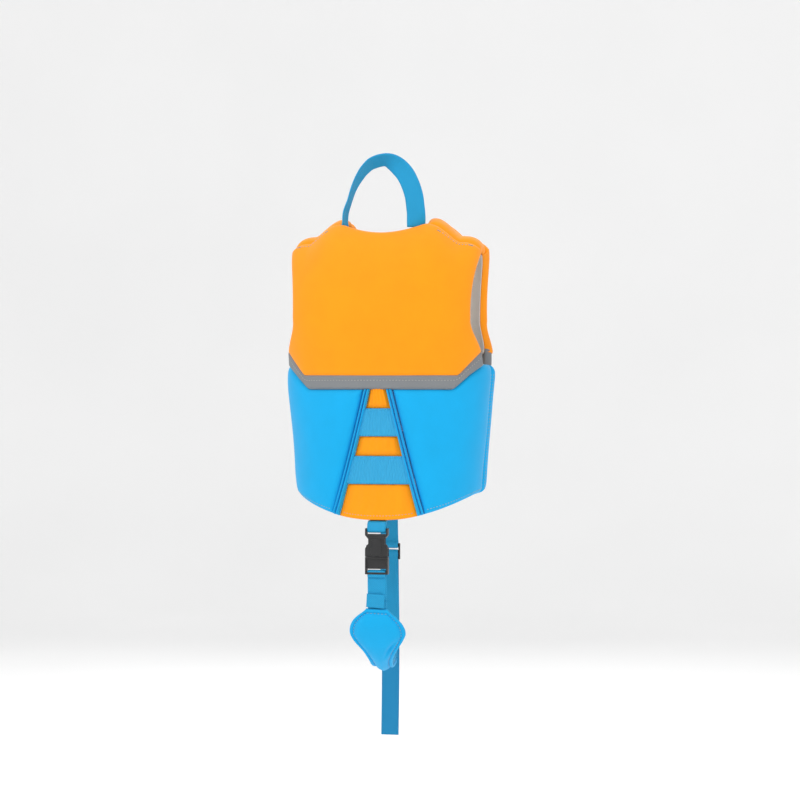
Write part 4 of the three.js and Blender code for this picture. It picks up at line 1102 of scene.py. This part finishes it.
class VEST_OT_grab_loop(bpy.types.Operator):
    """The webbing loop at the neck, twisted from on edge at its left leg to flat at its right"""

    bl_idname = "vest.grab_loop"
    bl_label = "Grab loop"

    def execute(self, context):
        rows, widths = loop_route()
        loop = guided_ribbon("grab_loop_webbing", rows, widths, thickness=0.0018, cup=0.0006)
        finish_with(loop, "blue_webbing", "grab_loop")
        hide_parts("grab_loop")
        return {"FINISHED"}


class VEST_OT_front_straps(bpy.types.Operator):
    """Chest and waist straps up to their buckles; each left one has its slack run as a separate piece with
    its own mesh
    """

    bl_idname = "vest.front_straps"
    bl_label = "Front straps"

    def execute(self, context):
        for word, level in STRAP_LEVELS.items():
            turn = [(BUCKLE_START + x, BUCKLE_PLANE + y, level) for x, y in bar_loop(BUCKLE_BAR, 0.010)]
            fixed = curve_through([*strap_on_belt(-1, level), *turn], 0.0012)
            right = ribbon(f"{word}_strap_right_webbing", fixed, UP)
            finish_with(right, "blue_webbing", "vest")
            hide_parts(f"{word}_strap_right")
            end = BUCKLE_START + BUCKLE_LENGTH
            run = [(x, BUCKLE_PLANE, level) for x in (end + RELEASE_TRAVEL + 0.002, end - 0.0015)]
            whole = curve_through([*strap_on_belt(1, level), *run], 0.0015)
            split = int(np.argmax(whole[:, 0] < SLACK_FROM))
            left = ribbon(f"{word}_strap_left_webbing", whole[:split + 1], UP)
            finish_with(left, "blue_webbing", "vest")
            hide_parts(f"{word}_strap_left")
            slack = ribbon(f"{word}_strap_slack", whole[split:], UP)
            finish_with(slack, "blue_webbing", "vest")
            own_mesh(slack)
            wrap = [(end - x, BUCKLE_PLANE + y, level) for x, y in bar_wrap(BUCKLE_BAR)]
            around = ribbon(f"{word}_male_wrap", curve_through(wrap, 0.0008), UP, width=WRAP_WIDTH)
            finish_with(around, "blue_webbing", f"{word}_male")
        return {"FINISHED"}


def hem_tab(name, start, end, turn, node):
    tab = ribbon(name, curve_through([start, *turn, end], 0.0008), SIDEWAYS)
    finish_with(tab, "blue_webbing", "vest")
    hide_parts(node)


class VEST_OT_hem_tabs(bpy.types.Operator):
    """The two webbing tabs under the hem, which carry the crotch buckle and the glide"""

    bl_idname = "vest.hem_tabs"
    bl_label = "Hem tabs"

    def execute(self, context):
        layer, tuck = 0.0011, 0.0005
        hem_y = float(back_depth(np.asarray(HEM_BACK))) + GUSSET_THICK / 2
        turn = [(0, CROTCH_Y - y, CROTCH_START - x) for x, y in bar_loop(BUCKLE_BAR, 0)[:-1]]
        hem_tab("back_tab_webbing", (0, hem_y - layer, HEM_BACK - tuck), (0, hem_y + layer, HEM_BACK - tuck),
                turn, "crotch_back_tab")
        front_y = -(FRONT_DEPTH + 0.005)
        turn = [(GLIDE_X, GLIDE_Y + y, GLIDE_LEVEL - x) for x, y in bar_loop(0.0015, 0)[:-1]]
        hem_tab("front_tab_webbing", (GLIDE_X, front_y + layer, HEM_FRONT - tuck),
                (GLIDE_X, front_y - layer, HEM_FRONT - tuck), turn, "crotch_front_tab")
        return {"FINISHED"}


class VEST_OT_crotch_strap(bpy.types.Operator):
    """The strap between the legs, doubled where it returns; its slack run is a separate piece with its own
    mesh
    """

    bl_idname = "vest.crotch_strap"
    bl_label = "Crotch strap"

    def execute(self, context):
        path = curve_through(crotch_rows(), 0.003)
        split = CROTCH_SLACK_POINTS
        strap = ribbon("crotch_strap_webbing", path[split:], SIDEWAYS)
        finish_with(strap, "blue_webbing", "crotch_strap")
        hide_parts("crotch_strap")
        slack = ribbon("crotch_strap_slack", path[:split + 1], SIDEWAYS)
        finish_with(slack, "blue_webbing", "crotch_strap")
        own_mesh(slack)
        outer = WEBBING + 0.0004
        double = [
            (0.0006, CROTCH_Y + outer, STRAP_TOP - 0.0225),
            (0.001, CROTCH_Y + outer, STRAP_TOP - 0.029),
            (0.0016, CROTCH_Y + outer - 0.0005, STRAP_TOP - 0.037),
        ]
        second = ribbon("crotch_strap_return", curve_through(double, 0.0015), (1, 0, 0.10), width=WRAP_WIDTH)
        finish_with(second, "blue_webbing", "crotch_strap")
        bottom = CROTCH_START - BUCKLE_LENGTH
        wrap = [(0, CROTCH_Y - y, bottom + x) for x, y in bar_wrap(BUCKLE_BAR)]
        around = ribbon("crotch_male_wrap", curve_through(wrap, 0.0008), SIDEWAYS, width=WRAP_WIDTH)
        finish_with(around, "blue_webbing", "crotch_male")
        return {"FINISHED"}


# ---- Padded panels ----

def pad(name, patch, counts, high, crown, nodes, finish, seed, swell=None):
    """A foam panel with its neoprene skin, blown up a little inside its sewn rim."""
    made = sizes()
    piece = pad_piece(name, patch, counts, PAD_FLOOR, high, made.rim, (crown, made.unevenness), seed)
    inflate(piece, made.swell if swell is None else swell)
    subdivide(piece)
    finish_with(piece, finish, "vest")
    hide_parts(*nodes)
    return piece


class VEST_OT_upper_back(bpy.types.Operator):
    """The orange foam panel over the shoulder blades"""

    bl_idname = "vest.upper_back"
    bl_label = "Upper back"

    def execute(self, context):
        pad("upper_back_pad", back_patch, (72, 56), BACK_THICK, sizes().back_crown,
            ("back_cover", "back_foam"), "orange_neoprene", 11)
        return {"FINISHED"}


class VEST_OT_upper_front(bpy.types.Operator):
    """Shoulder and chest panels on both sides of the zip"""

    bl_idname = "vest.upper_front"
    bl_label = "Shoulders and chest"

    def execute(self, context):
        for word, side in (("left", 1), ("right", -1)):
            pad(f"shoulder_pad_{word}_soft", shoulder_patch(side), (30, 30), SHOULDER_THICK, 0.0015,
                (f"shoulder_cover_{word}", f"shoulder_pad_{word}"), "orange_neoprene", 20 + side)
            pad(f"chest_pad_{word}", front_patch(side), (48, 64), FRONT_THICK, sizes().front_crown,
                (f"front_cover_{word}", f"front_foam_{word}"), "orange_neoprene", 30 + side)
        return {"FINISHED"}


class VEST_OT_waist_belt(bpy.types.Operator):
    """Blue padded belt in four panels"""

    bl_idname = "vest.waist_belt"
    bl_label = "Waist belt"

    def execute(self, context):
        for word, side in (("left", 1), ("right", -1)):
            pad(f"belt_back_{word}", belt_patch(side, waist_inner, seam_back), (44, 60), WAIST_BACK_THICK,
                sizes().waist_crown, (f"waist_back_cover_{word}", f"waist_back_foam_{word}"),
                "blue_neoprene", 40 + side)
            high = WAIST_FRONT_THICK - STRAP_ROOM
            pad(f"belt_front_{word}", belt_patch(side, seam_front, zip_edge), (52, 60), high,
                sizes().waist_crown + 0.0005, (f"waist_front_cover_{word}", f"waist_front_foam_{word}"),
                "blue_neoprene", 50 + side, swell=STRAP_ROOM)
        return {"FINISHED"}


class VEST_OT_linings(bpy.types.Operator):
    """Pale lining stretched over the inner face, and its edge along the back neckline"""

    bl_idname = "vest.linings"
    bl_label = "Linings"

    def execute(self, context):
        plans = [("back_lining_cloth", back_patch, ("back_lining",), "upper_back_pad")]
        for word, side in (("left", 1), ("right", -1)):
            plans.append((f"chest_lining_{word}", front_patch(side), (f"front_lining_{word}",),
                          f"chest_pad_{word}"))
            plans.append((f"belt_lining_{word}", belt_patch(side, waist_inner, zip_edge),
                          (f"waist_lining_{word}",), f"belt_back_{word}"))
        for name, patch, nodes, host in plans:
            cloth = slab_piece(name, patch, (48, 36), 0.0, 0.0012)
            finish_with(cloth, "lining", "vest")
            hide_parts(*nodes)
            lay_sheet(patch)
        x = np.linspace(-NECK_HALF + 0.001, NECK_HALF - 0.001, 90)
        line = on_torso(back_top(x) + 0.0004, x, np.full_like(x, 0.0036))
        roll = ribbon("neck_edge_binding", even_points(line, 0.0012), (0, 0.75, -0.65), width=0.0042,
                      thickness=0.0018)
        finish_with(roll, "lining", "vest")
        return {"FINISHED"}


class VEST_OT_grey_band(bpy.types.Operator):
    """Grey band between the upper panels and the belt"""

    bl_idname = "vest.grey_band"
    bl_label = "Grey band"

    def execute(self, context):
        plans = [("back_band", trim_patch(0), "back_trim_band", 96)]
        plans += [(f"front_band_{word}", trim_patch(side), f"front_trim_band_{word}", 56)
                  for word, side in (("left", 1), ("right", -1))]
        for name, patch, node, count in plans:
            high = TRIM_THICK + 0.0008
            band = pad_piece(name, patch, (count, 14), PAD_FLOOR, high, 0.0035, (0.0008, 0.0004), 61)
            subdivide(band)
            finish_with(band, "grey_neoprene", "vest")
            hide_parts(node)
        return {"FINISHED"}


# ---- Stretch gusset ----

class VEST_OT_gusset(bpy.types.Operator):
    """Orange stretch panel in the small of the back, its rolled edges and two ribbed elastics"""

    bl_idname = "vest.gusset"
    bl_label = "Gusset"

    def execute(self, context):
        panel = self.gathered_panel()
        finish_with(panel, "orange_neoprene", "vest")
        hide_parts("back_gusset")
        for word, level in ELASTIC_LEVELS.items():
            band = self.ribbed_band(f"elastic_{word}", level)
            finish_with(band, "blue_elastic", "vest")
            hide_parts(f"elastic_band_{word}")
            patch = self.band_patch(level)
            lay_sheet(patch)
        for word, side in (("left", 1), ("right", -1)):
            roll = self.rolled_edge(f"piping_{word}", side)
            finish_with(roll, "piping", "vest")
            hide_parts(f"gusset_piping_{word}")
        return {"FINISHED"}

    def gathered_panel(self):
        """The panel bulges between the elastics and dips under them."""
        a, b = np.meshgrid(shares(40), shares(90, 0.2), indexing="ij")
        level = lerp(HEM_BACK, BELT_TOP, b)
        tight = np.zeros_like(a)
        for band in ELASTIC_LEVELS.values():
            tight = np.maximum(tight, 1 - smooth(np.abs(level - band), 0.012, 0.021))
        mid = 1 - np.abs(2 * a - 1) ** 3
        bulge = (1 - tight) * mid
        puckers = 0.0005 * np.sin(a * 34 + 3 * np.sin(b * 9)) * (1 - tight) * mid
        lift = 0.0046 + 0.0042 * bulge + puckers
        columns, rows = a.shape
        count = columns * rows
        top = gusset_patch(a, b, lift).reshape(-1, 3)
        floor = gusset_patch(a, b, np.zeros_like(a)).reshape(-1, 3)
        rim = rim_of(columns, rows)
        faces = grid_faces(0, columns, rows)
        faces += [tuple(reversed(face)) for face in grid_faces(count, columns, rows)]
        faces += wall_faces(rim, [k + count for k in rim])
        return mesh_piece("gusset_panel", np.vstack([top, floor]), faces)

    def band_patch(self, level):
        def patch(a, b, lift):
            z = level + (b - 0.5) * ELASTIC_WIDTH
            return on_belt(psi_at((2 * a - 1) * (gusset_half(z) + 0.0012), z), z, lift)
        return patch

    def ribbed_band(self, name, level):
        patch = self.band_patch(level)
        half = float(gusset_half(np.asarray(level)))
        ribs = max(int(2 * half / sizes().rib_pitch), 4)
        columns, rows = ribs * 8 + 1, 25
        a, b = np.meshgrid(np.linspace(0, 1, columns), np.linspace(0, 1, rows), indexing="ij")
        ridge_height = 0.00042 * (np.cos(a * ribs * 2 * math.pi) - 1) / 2
        wave = 0.0004 * np.sin(b * 2 * math.pi * 2 + np.round(a * ribs) * 1.3)
        rim = np.minimum(b, 1 - b) * ELASTIC_WIDTH
        selvedge = -0.0006 * (1 - np.clip(rim / 0.0008, 0, 1))
        selvedge = selvedge + 0.0003 * np.exp(-((rim - 0.0022) / 0.0006) ** 2)
        belly = 0.0008 * (1 - (2 * b - 1) ** 2)
        lift = 0.0083 + ridge_height + selvedge + belly + wave * 0.3
        count = columns * rows
        top = patch(a, b, lift).reshape(-1, 3)
        floor = patch(a, b, np.full_like(a, 0.0064)).reshape(-1, 3)
        faces = grid_faces(0, columns, rows)
        faces += [tuple(reversed(face)) for face in grid_faces(count, columns, rows)]
        edge = rim_of(columns, rows)
        faces += wall_faces(edge, [k + count for k in edge])
        piece = mesh_piece(name, np.vstack([top, floor]), faces)
        weave = piece.data.uv_layers.new(name="weave")
        flat_a, flat_b = a.reshape(-1), b.reshape(-1)
        for loop in piece.data.loops:
            k = loop.vertex_index % count
            weave.data[loop.index].uv = (0.5 + flat_a[k] * 2 * half, 0.5 + flat_b[k] * ELASTIC_WIDTH)
        return piece

    def rolled_edge(self, name, side):
        """Two parallel ridges with a stitched groove between them."""
        patch = belt_patch(side, piping_inner, piping_outer)
        a, b = np.meshgrid(np.linspace(0, 1, 25), shares(90, 0.15), indexing="ij")
        ridges = np.abs(np.sin(a * 2 * math.pi)) ** 0.6
        ends = 1 - 0.35 * (1 - np.clip(np.minimum(b, 1 - b) / 0.012, 0, 1)) ** 2
        lift = (0.0068 + 0.0046 * ridges) * ends
        columns, rows = a.shape
        count = columns * rows
        top = patch(a, b, lift).reshape(-1, 3)
        floor = patch(a, b, np.zeros_like(a)).reshape(-1, 3)
        rim = rim_of(columns, rows)
        faces = grid_faces(0, columns, rows)
        faces += [tuple(reversed(face)) for face in grid_faces(count, columns, rows)]
        faces += wall_faces(rim, [k + count for k in rim])
        return mesh_piece(name, np.vstack([top, floor]), faces)


# ---- Crotch pad ----

PAD_START = 0.038
PAD_LENGTH = 0.134
PAD_SHARES = [0, 0.03, 0.06, 0.11, 0.16, 0.217, 0.28, 0.34, 0.40, 0.515, 0.62, 0.8, 1.0]
PAD_HALVES = [
    0.0108, 0.0150, 0.0205, 0.0268, 0.0298, 0.0305, 0.0265, 0.0215, 0.0175, 0.0130, 0.0118, 0.0118, 0.0112,
]
PAD_RIM = 0.0045


def pad_half(b):
    fine = np.linspace(0, 1, 241)
    half = np.interp(fine, PAD_SHARES, PAD_HALVES)
    kernel = np.hanning(19)
    kernel /= kernel.sum()
    soft = np.convolve(np.pad(half, 9, mode="edge"), kernel, mode="valid")
    return np.interp(b, fine, soft)


def pad_patch(route):
    _, side, face = frames_along(route, SIDEWAYS)
    run = np.concatenate([[0], np.cumsum(np.linalg.norm(np.diff(route, axis=0), axis=1))])

    def at(values, s):
        return np.stack([np.interp(s, run, values[:, k]) for k in range(3)], axis=-1)

    def patch(a, b, lift):
        s = PAD_START + np.asarray(b) * PAD_LENGTH
        across = at(side, s) * ((2 * np.asarray(a) - 1) * pad_half(b))[..., None]
        return at(route, s) + across - at(face, s) * np.asarray(lift)[..., None]
    return patch


class VEST_OT_crotch_pad(bpy.types.Operator):
    """Leaf-shaped pad on the strap, with a flat bound rim round its stuffed middle"""

    bl_idname = "vest.crotch_pad"
    bl_label = "Crotch pad"

    def execute(self, context):
        patch = pad_patch(curve_through(crotch_rows(), 0.003))
        a, b = np.meshgrid(shares(48, 0.5), shares(110, 0.35), indexing="ij")
        half = pad_half(b)
        from_side = (1 - np.abs(2 * a - 1)) * half
        from_end = np.minimum(b, 1 - b) * PAD_LENGTH
        inward = np.minimum(from_side, from_end)
        rim = np.sqrt(np.clip(1 - (1 - np.clip(inward / 0.0018, 0, 1)) ** 2, 0, 1))
        seam = np.exp(-((inward - PAD_RIM) / 0.0009) ** 2)
        stuffed = 1 - np.exp(-np.clip(inward - PAD_RIM, 0, None) / 0.0055)
        fold = np.exp(-(((a - 0.20) - (b - 0.30) * 0.9) / 0.055) ** 2) * np.exp(-((b - 0.33) / 0.07) ** 2)
        curl = 0.0012 * np.sin(b * 21 + a * 2.2) * (1 - np.clip(inward / 0.010, 0, 1))
        lift = 0.0016 + 0.0026 * rim - 0.0012 * seam + 0.0058 * stuffed - 0.0030 * fold + curl * 0.5
        columns, rows = a.shape
        count = columns * rows
        low = 0.0012 + curl * 0.5
        top = patch(a, b, lift).reshape(-1, 3)
        floor = patch(a, b, low).reshape(-1, 3)
        edge = rim_of(columns, rows)
        faces = grid_faces(0, columns, rows)
        faces += [tuple(reversed(face)) for face in grid_faces(count, columns, rows)]
        faces += wall_faces(edge, [k + count for k in edge])
        leaf = mesh_piece("crotch_pad_leaf", np.vstack([top, floor]), faces)
        finish_with(leaf, "blue_neoprene", "crotch_strap")
        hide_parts("crotch_pad")
        return {"FINISHED"}


# ---- Buckles, glide and zip ----

def buckle_place(word):
    """Maps a buckle's own length, thickness and width to its place on the vest."""
    if word == "crotch":
        return lambda x, y, z: (-z, CROTCH_Y - y, CROTCH_START - x)
    level = STRAP_LEVELS[word]
    return lambda x, y, z: (BUCKLE_START + x, BUCKLE_PLANE + y, level + z)


def moulded_plate(name, place, outline, low, high, radius):
    """A plate with rounded edges, outlined along a buckle's length and width."""
    points = [place(x, low, z) for x, z in outline] + [place(x, high, z) for x, z in outline]
    count = len(outline)
    faces = [tuple(range(count)), tuple(range(2 * count - 1, count - 1, -1))]
    faces += [(k, (k + 1) % count, count + (k + 1) % count, count + k) for k in range(count)]
    piece = mesh_piece(name, points, faces, smooth_shading=False)
    work = bmesh.new()
    work.from_mesh(piece.data)
    bmesh.ops.bevel(work, geom=work.edges[:], offset=radius, offset_type="OFFSET", segments=2,
                    profile=0.6, affect="EDGES", clamp_overlap=True)
    work.to_mesh(piece.data)
    work.free()
    piece.data.shade_smooth()
    piece.data.set_sharp_from_angle(angle=math.radians(40))
    return piece


def joined(name, pieces):
    """Several mesh pieces as one."""
    base = pieces[0]
    with bpy.context.temp_override(active_object=base, object=base, selected_objects=pieces,
                                   selected_editable_objects=pieces):
        bpy.ops.object.join()
    base.name = name
    return base


def rounded_box(x0, x1, z0, z1, cut):
    return [(x0 + cut, z0), (x1 - cut, z0), (x1, z0 + cut), (x1, z1 - cut), (x1 - cut, z1),
            (x0 + cut, z1), (x0, z1 - cut), (x0, z0 + cut)]


class VEST_OT_buckles(bpy.types.Operator):
    """Three side-release buckles with moulded relief, and the strap glide"""

    bl_idname = "vest.buckles"
    bl_label = "Buckles"

    def execute(self, context):
        for word in ("chest", "waist", "crotch"):
            parts = (
                ("female", "vest", 0.0005),
                ("male", f"{word}_male", 0.0004),
                ("arm_upper", f"{word}_prong_upper", 0.0004),
                ("arm_lower", f"{word}_prong_lower", 0.0004),
            )
            for part, body, radius in parts:
                node = f"{word}_buckle_{part}"
                copy = rounded_copy(node, f"{node}_moulded", radius)
                finish_with(copy, "black_plastic", body)
                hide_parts(node)
            self.female_relief(word)
            self.male_relief(word)
        glide = rounded_copy("crotch_glide", "crotch_glide_moulded", 0.0005)
        finish_with(glide, "black_plastic", "crotch_strap")
        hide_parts("crotch_glide")
        return {"FINISHED"}

    def female_relief(self, word):
        """A raised field and a step on both faces of the socket half."""
        place = buckle_place(word)
        face = BUCKLE_THICK / 2
        plates = []
        for side in (-1, 1):
            low, high = sorted((side * (face - 0.0003), side * (face + 0.0006)))
            plates.append(moulded_plate("field", place, rounded_box(0.0115, 0.0285, -0.0062, 0.0062, 0.0022),
                                        low, high, 0.0003))
            plates.append(moulded_plate("step", place, rounded_box(0.0072, 0.0096, -0.0105, 0.0105, 0.0008),
                                        low, high, 0.0003))
        relief = joined(f"{word}_female_relief", plates)
        finish_with(relief, "black_plastic", "vest")

    def male_relief(self, word):
        """Grip ribs on the outer face of the plug half's frame, and the web that roots its prongs."""
        place = buckle_place(word)
        face = -BUCKLE_THICK / 2
        plates = []
        for z in (-0.0111, 0.0111):
            for x in (0.0340, 0.0365, 0.0390, 0.0415):
                outline = rounded_box(x, x + 0.0012, z - 0.0007, z + 0.0007, 0.0003)
                plates.append(moulded_plate("rib", place, outline, face - 0.0004, face + 0.0003, 0.0002))
        web = rounded_box(0.0310, 0.0428, -0.0112, 0.0112, 0.0010)
        plates.append(moulded_plate("web", place, web, -0.0034, 0.0034, 0.0005))
        relief = joined(f"{word}_male_relief", plates)
        finish_with(relief, "black_plastic", f"{word}_male")


class VEST_OT_zip(bpy.types.Operator):
    """Toothed zip with its tapes, slider, pull and box"""

    bl_idname = "vest.zip"
    bl_label = "Zip"

    def execute(self, context):
        for word, side in (("left", 1), ("right", -1)):
            node = f"zipper_stringer_{word}"
            low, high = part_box(node)
            tape = self.tape(f"zip_tape_{word}", side, low, high)
            finish_with(tape, "zip_tape", "vest")
            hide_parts(node)
            teeth = self.teeth(f"zip_teeth_{word}", side, low, high)
            finish_with(teeth, "zip_teeth", "vest")
        for node, body, finish, radius in (
            ("zipper_slider", "zipper_slider", "zip_metal", 0.0003),
            ("zipper_pull", "zipper_pull", "zip_metal", 0.0003),
            ("zipper_box", "vest", "black_plastic", 0.0003),
        ):
            copy = rounded_copy(node, f"{node}_moulded", radius)
            finish_with(copy, finish, body)
            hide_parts(node)
        return {"FINISHED"}

    def tape(self, name, side, low, high):
        level = np.linspace(low.z, high.z, 110)
        middle = side * 0.0073
        y = -(FRONT_DEPTH + 0.0032)
        line = np.stack([np.full_like(level, middle), np.full_like(level, y), level], axis=1)
        return ribbon(name, line, SIDEWAYS, width=0.0106, thickness=0.0012)

    def teeth(self, name, side, low, high):
        """Interlocking teeth, half a pitch out of step from one side to the other."""
        pitch, wide = 0.0024, 0.0022
        start = low.z + (0.0008 if side > 0 else 0.0008 + pitch / 2)
        points, faces = [], []
        for k in range(int((high.z - start) / pitch)):
            z = start + k * pitch
            outline = [(side * -0.0003, z + 0.0004), (side * 0.0006, z), (side * wide, z + 0.0001),
                       (side * wide, z + 0.0015), (side * 0.0006, z + 0.0016), (side * -0.0003, z + 0.0012)]
            for y, inset in ((0.0022, 0), (0.0042, 0), (0.0046, 0.00025)):
                centre = (side * wide / 2, z + 0.0008)
                for x, level in outline:
                    points.append((lerp(x, centre[0], inset / 0.001), -(FRONT_DEPTH + y),
                                   lerp(level, centre[1], inset / 0.001)))
            first = k * 18
            for ring in range(2):
                for j in range(6):
                    a, b = first + ring * 6 + j, first + ring * 6 + (j + 1) % 6
                    faces.append((a, b, b + 6, a + 6))
            faces += [tuple(first + j for j in range(6)), tuple(first + 12 + j for j in range(6))]
        return mesh_piece(name, points, faces, smooth_shading=False)


# ---- Stitching ----

class Needle:
    """Lays stitches on the outer surface of finished pieces."""

    def __init__(self, *names):
        points, faces = [], []
        for name in names:
            mesh = bpy.data.objects[name].data
            first = len(points)
            points += [v.co.copy() for v in mesh.vertices]
            faces += [[first + k for k in face.vertices] for face in mesh.polygons]
        self.tree = BVHTree.FromPolygons(points, faces)

    def settle(self, line, ups, sink=0.00008):
        """The points of a line dropped along their normals on to the pieces."""
        landed = []
        for point, up in zip(line, ups):
            up = Vector(up).normalized()
            spot, _, _, _ = self.tree.ray_cast(Vector(point) + up * 0.03, -up, 0.05)
            if spot is not None:
                landed.append((np.array(spot - up * sink), np.array(up)))
        if len(landed) < 2:
            return None
        return np.array([p for p, _ in landed]), np.array([u for _, u in landed])


def sew(dashes, needle, patch, a, b, **given):
    """One row of stitches along shares a and b of a patch."""
    a, b = np.broadcast_arrays(np.asarray(a, float), np.asarray(b, float))
    line = patch(a, b, np.full(a.shape, 0.010))
    ups = patch(a, b, np.full(a.shape, 0.011)) - line
    landed = needle.settle(line, ups)
    if landed:
        values = {"pitch": sizes().stitch_pitch, "length": sizes().stitch_length, **given}
        dashes.row(*landed, **values)


class VEST_OT_stitching(bpy.types.Operator):
    """Thread stitches along the panels' seams, the shoulders and the pad"""

    bl_idname = "vest.stitching"
    bl_label = "Stitching"

    def execute(self, context):
        run = np.linspace(0, 1, 140)
        vest = Dashes()
        self.back(vest, run)
        self.belt(vest, run)
        self.gusset(vest, run)
        rows = vest.piece("vest_stitches")
        finish_with(rows, "thread", "vest")
        leaf = Dashes()
        self.leaf(leaf)
        rim = leaf.piece("crotch_pad_stitches")
        finish_with(rim, "thread", "crotch_strap")
        return {"FINISHED"}

    def back(self, dashes, run):
        back = Needle("upper_back_pad")
        band = Needle("back_band")
        sew(dashes, band, trim_patch(0), lerp(0.01, 0.99, run), 0.60, radius=0.00045)
        for side in (1, -1):
            centre = 0.5 + side * lerp(0.28, 0.455, np.linspace(0, 1, 30))
            sew(dashes, back, back_patch, centre, 0.915, radius=0.0005)
            for a in (centre[0], centre[-1]):
                knot = np.linspace(a - 0.006, a + 0.006, 6)
                sew(dashes, back, back_patch, knot, 0.915, pitch=0.0009, length=0.0011, radius=0.0008)
        for word, side in (("left", 1), ("right", -1)):
            needle = Needle(f"front_band_{word}")
            sew(dashes, needle, trim_patch(side), lerp(0.02, 0.98, run), 0.60, radius=0.00045)

    def belt(self, dashes, run):
        for word, side in (("left", 1), ("right", -1)):
            rear = Needle(f"belt_back_{word}")
            front = Needle(f"belt_front_{word}")
            rear_patch = belt_patch(side, waist_inner, seam_back)
            front_panel = belt_patch(side, seam_front, zip_edge)
            sew(dashes, rear, rear_patch, 0.962, lerp(0.03, 0.93, run))
            sew(dashes, front, front_panel, 0.030, lerp(0.03, 0.93, run))
            sew(dashes, rear, rear_patch, lerp(0.03, 0.96, run), 0.035)
            sew(dashes, front, front_panel, lerp(0.04, 0.97, run), 0.035)
            sew(dashes, front, front_panel, 0.975, lerp(0.03, 0.97, run))

    def gusset(self, dashes, run):
        panel = Needle("gusset_panel")
        sew(dashes, panel, gusset_patch, lerp(0.04, 0.96, run), 0.030)
        for word, side in (("left", 1), ("right", -1)):
            roll = Needle(f"piping_{word}")
            patch = belt_patch(side, piping_inner, piping_outer)
            sew(dashes, roll, patch, 0.5, lerp(0.02, 0.98, run), radius=0.0003)

    def leaf(self, dashes):
        needle = Needle("crotch_pad_leaf")
        patch = pad_patch(curve_through(crotch_rows(), 0.003))
        b = np.linspace(0.04, 0.96, 130)
        share = PAD_RIM / pad_half(b) / 2
        sew(dashes, needle, patch, share, b, radius=0.0003)
        sew(dashes, needle, patch, 1 - share, b, radius=0.0003)
        across = np.linspace(share[0], 1 - share[0], 20)
        sew(dashes, needle, patch, across, 0.035, radius=0.0003)


# ---- The sidebar and the whole vest ----

class VEST_PT_sidebar(bpy.types.Panel):
    """Sizes, colours and pieces of the swim vest"""

    bl_idname = "VEST_PT_sidebar"
    bl_label = "Swim Vest"
    bl_space_type = "VIEW_3D"
    bl_region_type = "UI"
    bl_category = "Swim Vest"

    def draw(self, context):
        layout = self.layout
        for label, group in (("Sizes", context.scene.vest_sizes), ("Colours", context.scene.vest_colours)):
            box = layout.box()
            box.label(text=label)
            for name in group.bl_rna.properties.keys():
                if name not in ("rna_type", "name"):
                    box.prop(group, name)
        column = layout.column(align=True)
        for operator in PIECES:
            column.operator(operator.bl_idname)


PIECES = (
    VEST_OT_stage, VEST_OT_strap_tail, VEST_OT_grab_loop, VEST_OT_front_straps, VEST_OT_hem_tabs,
    VEST_OT_crotch_strap, VEST_OT_upper_back, VEST_OT_upper_front, VEST_OT_waist_belt, VEST_OT_grey_band,
    VEST_OT_gusset, VEST_OT_linings, VEST_OT_crotch_pad, VEST_OT_buckles, VEST_OT_zip, VEST_OT_stitching,
)
CLASSES = (VestColours, VestSizes, *PIECES, VEST_PT_sidebar)


def register():
    for entry in CLASSES:
        bpy.utils.register_class(entry)
    bpy.types.Scene.vest_colours = bpy.props.PointerProperty(type=VestColours)
    bpy.types.Scene.vest_sizes = bpy.props.PointerProperty(type=VestSizes)


def unregister():
    del bpy.types.Scene.vest_sizes
    del bpy.types.Scene.vest_colours
    for entry in reversed(CLASSES):
        bpy.utils.unregister_class(entry)


def main():
    register()
    FINISHES.update(make_materials(colours()))
    for operator in PIECES:
        family, name = operator.bl_idname.split(".")
        getattr(getattr(bpy.ops, family), name)()


if __name__ == "__main__":
    main()
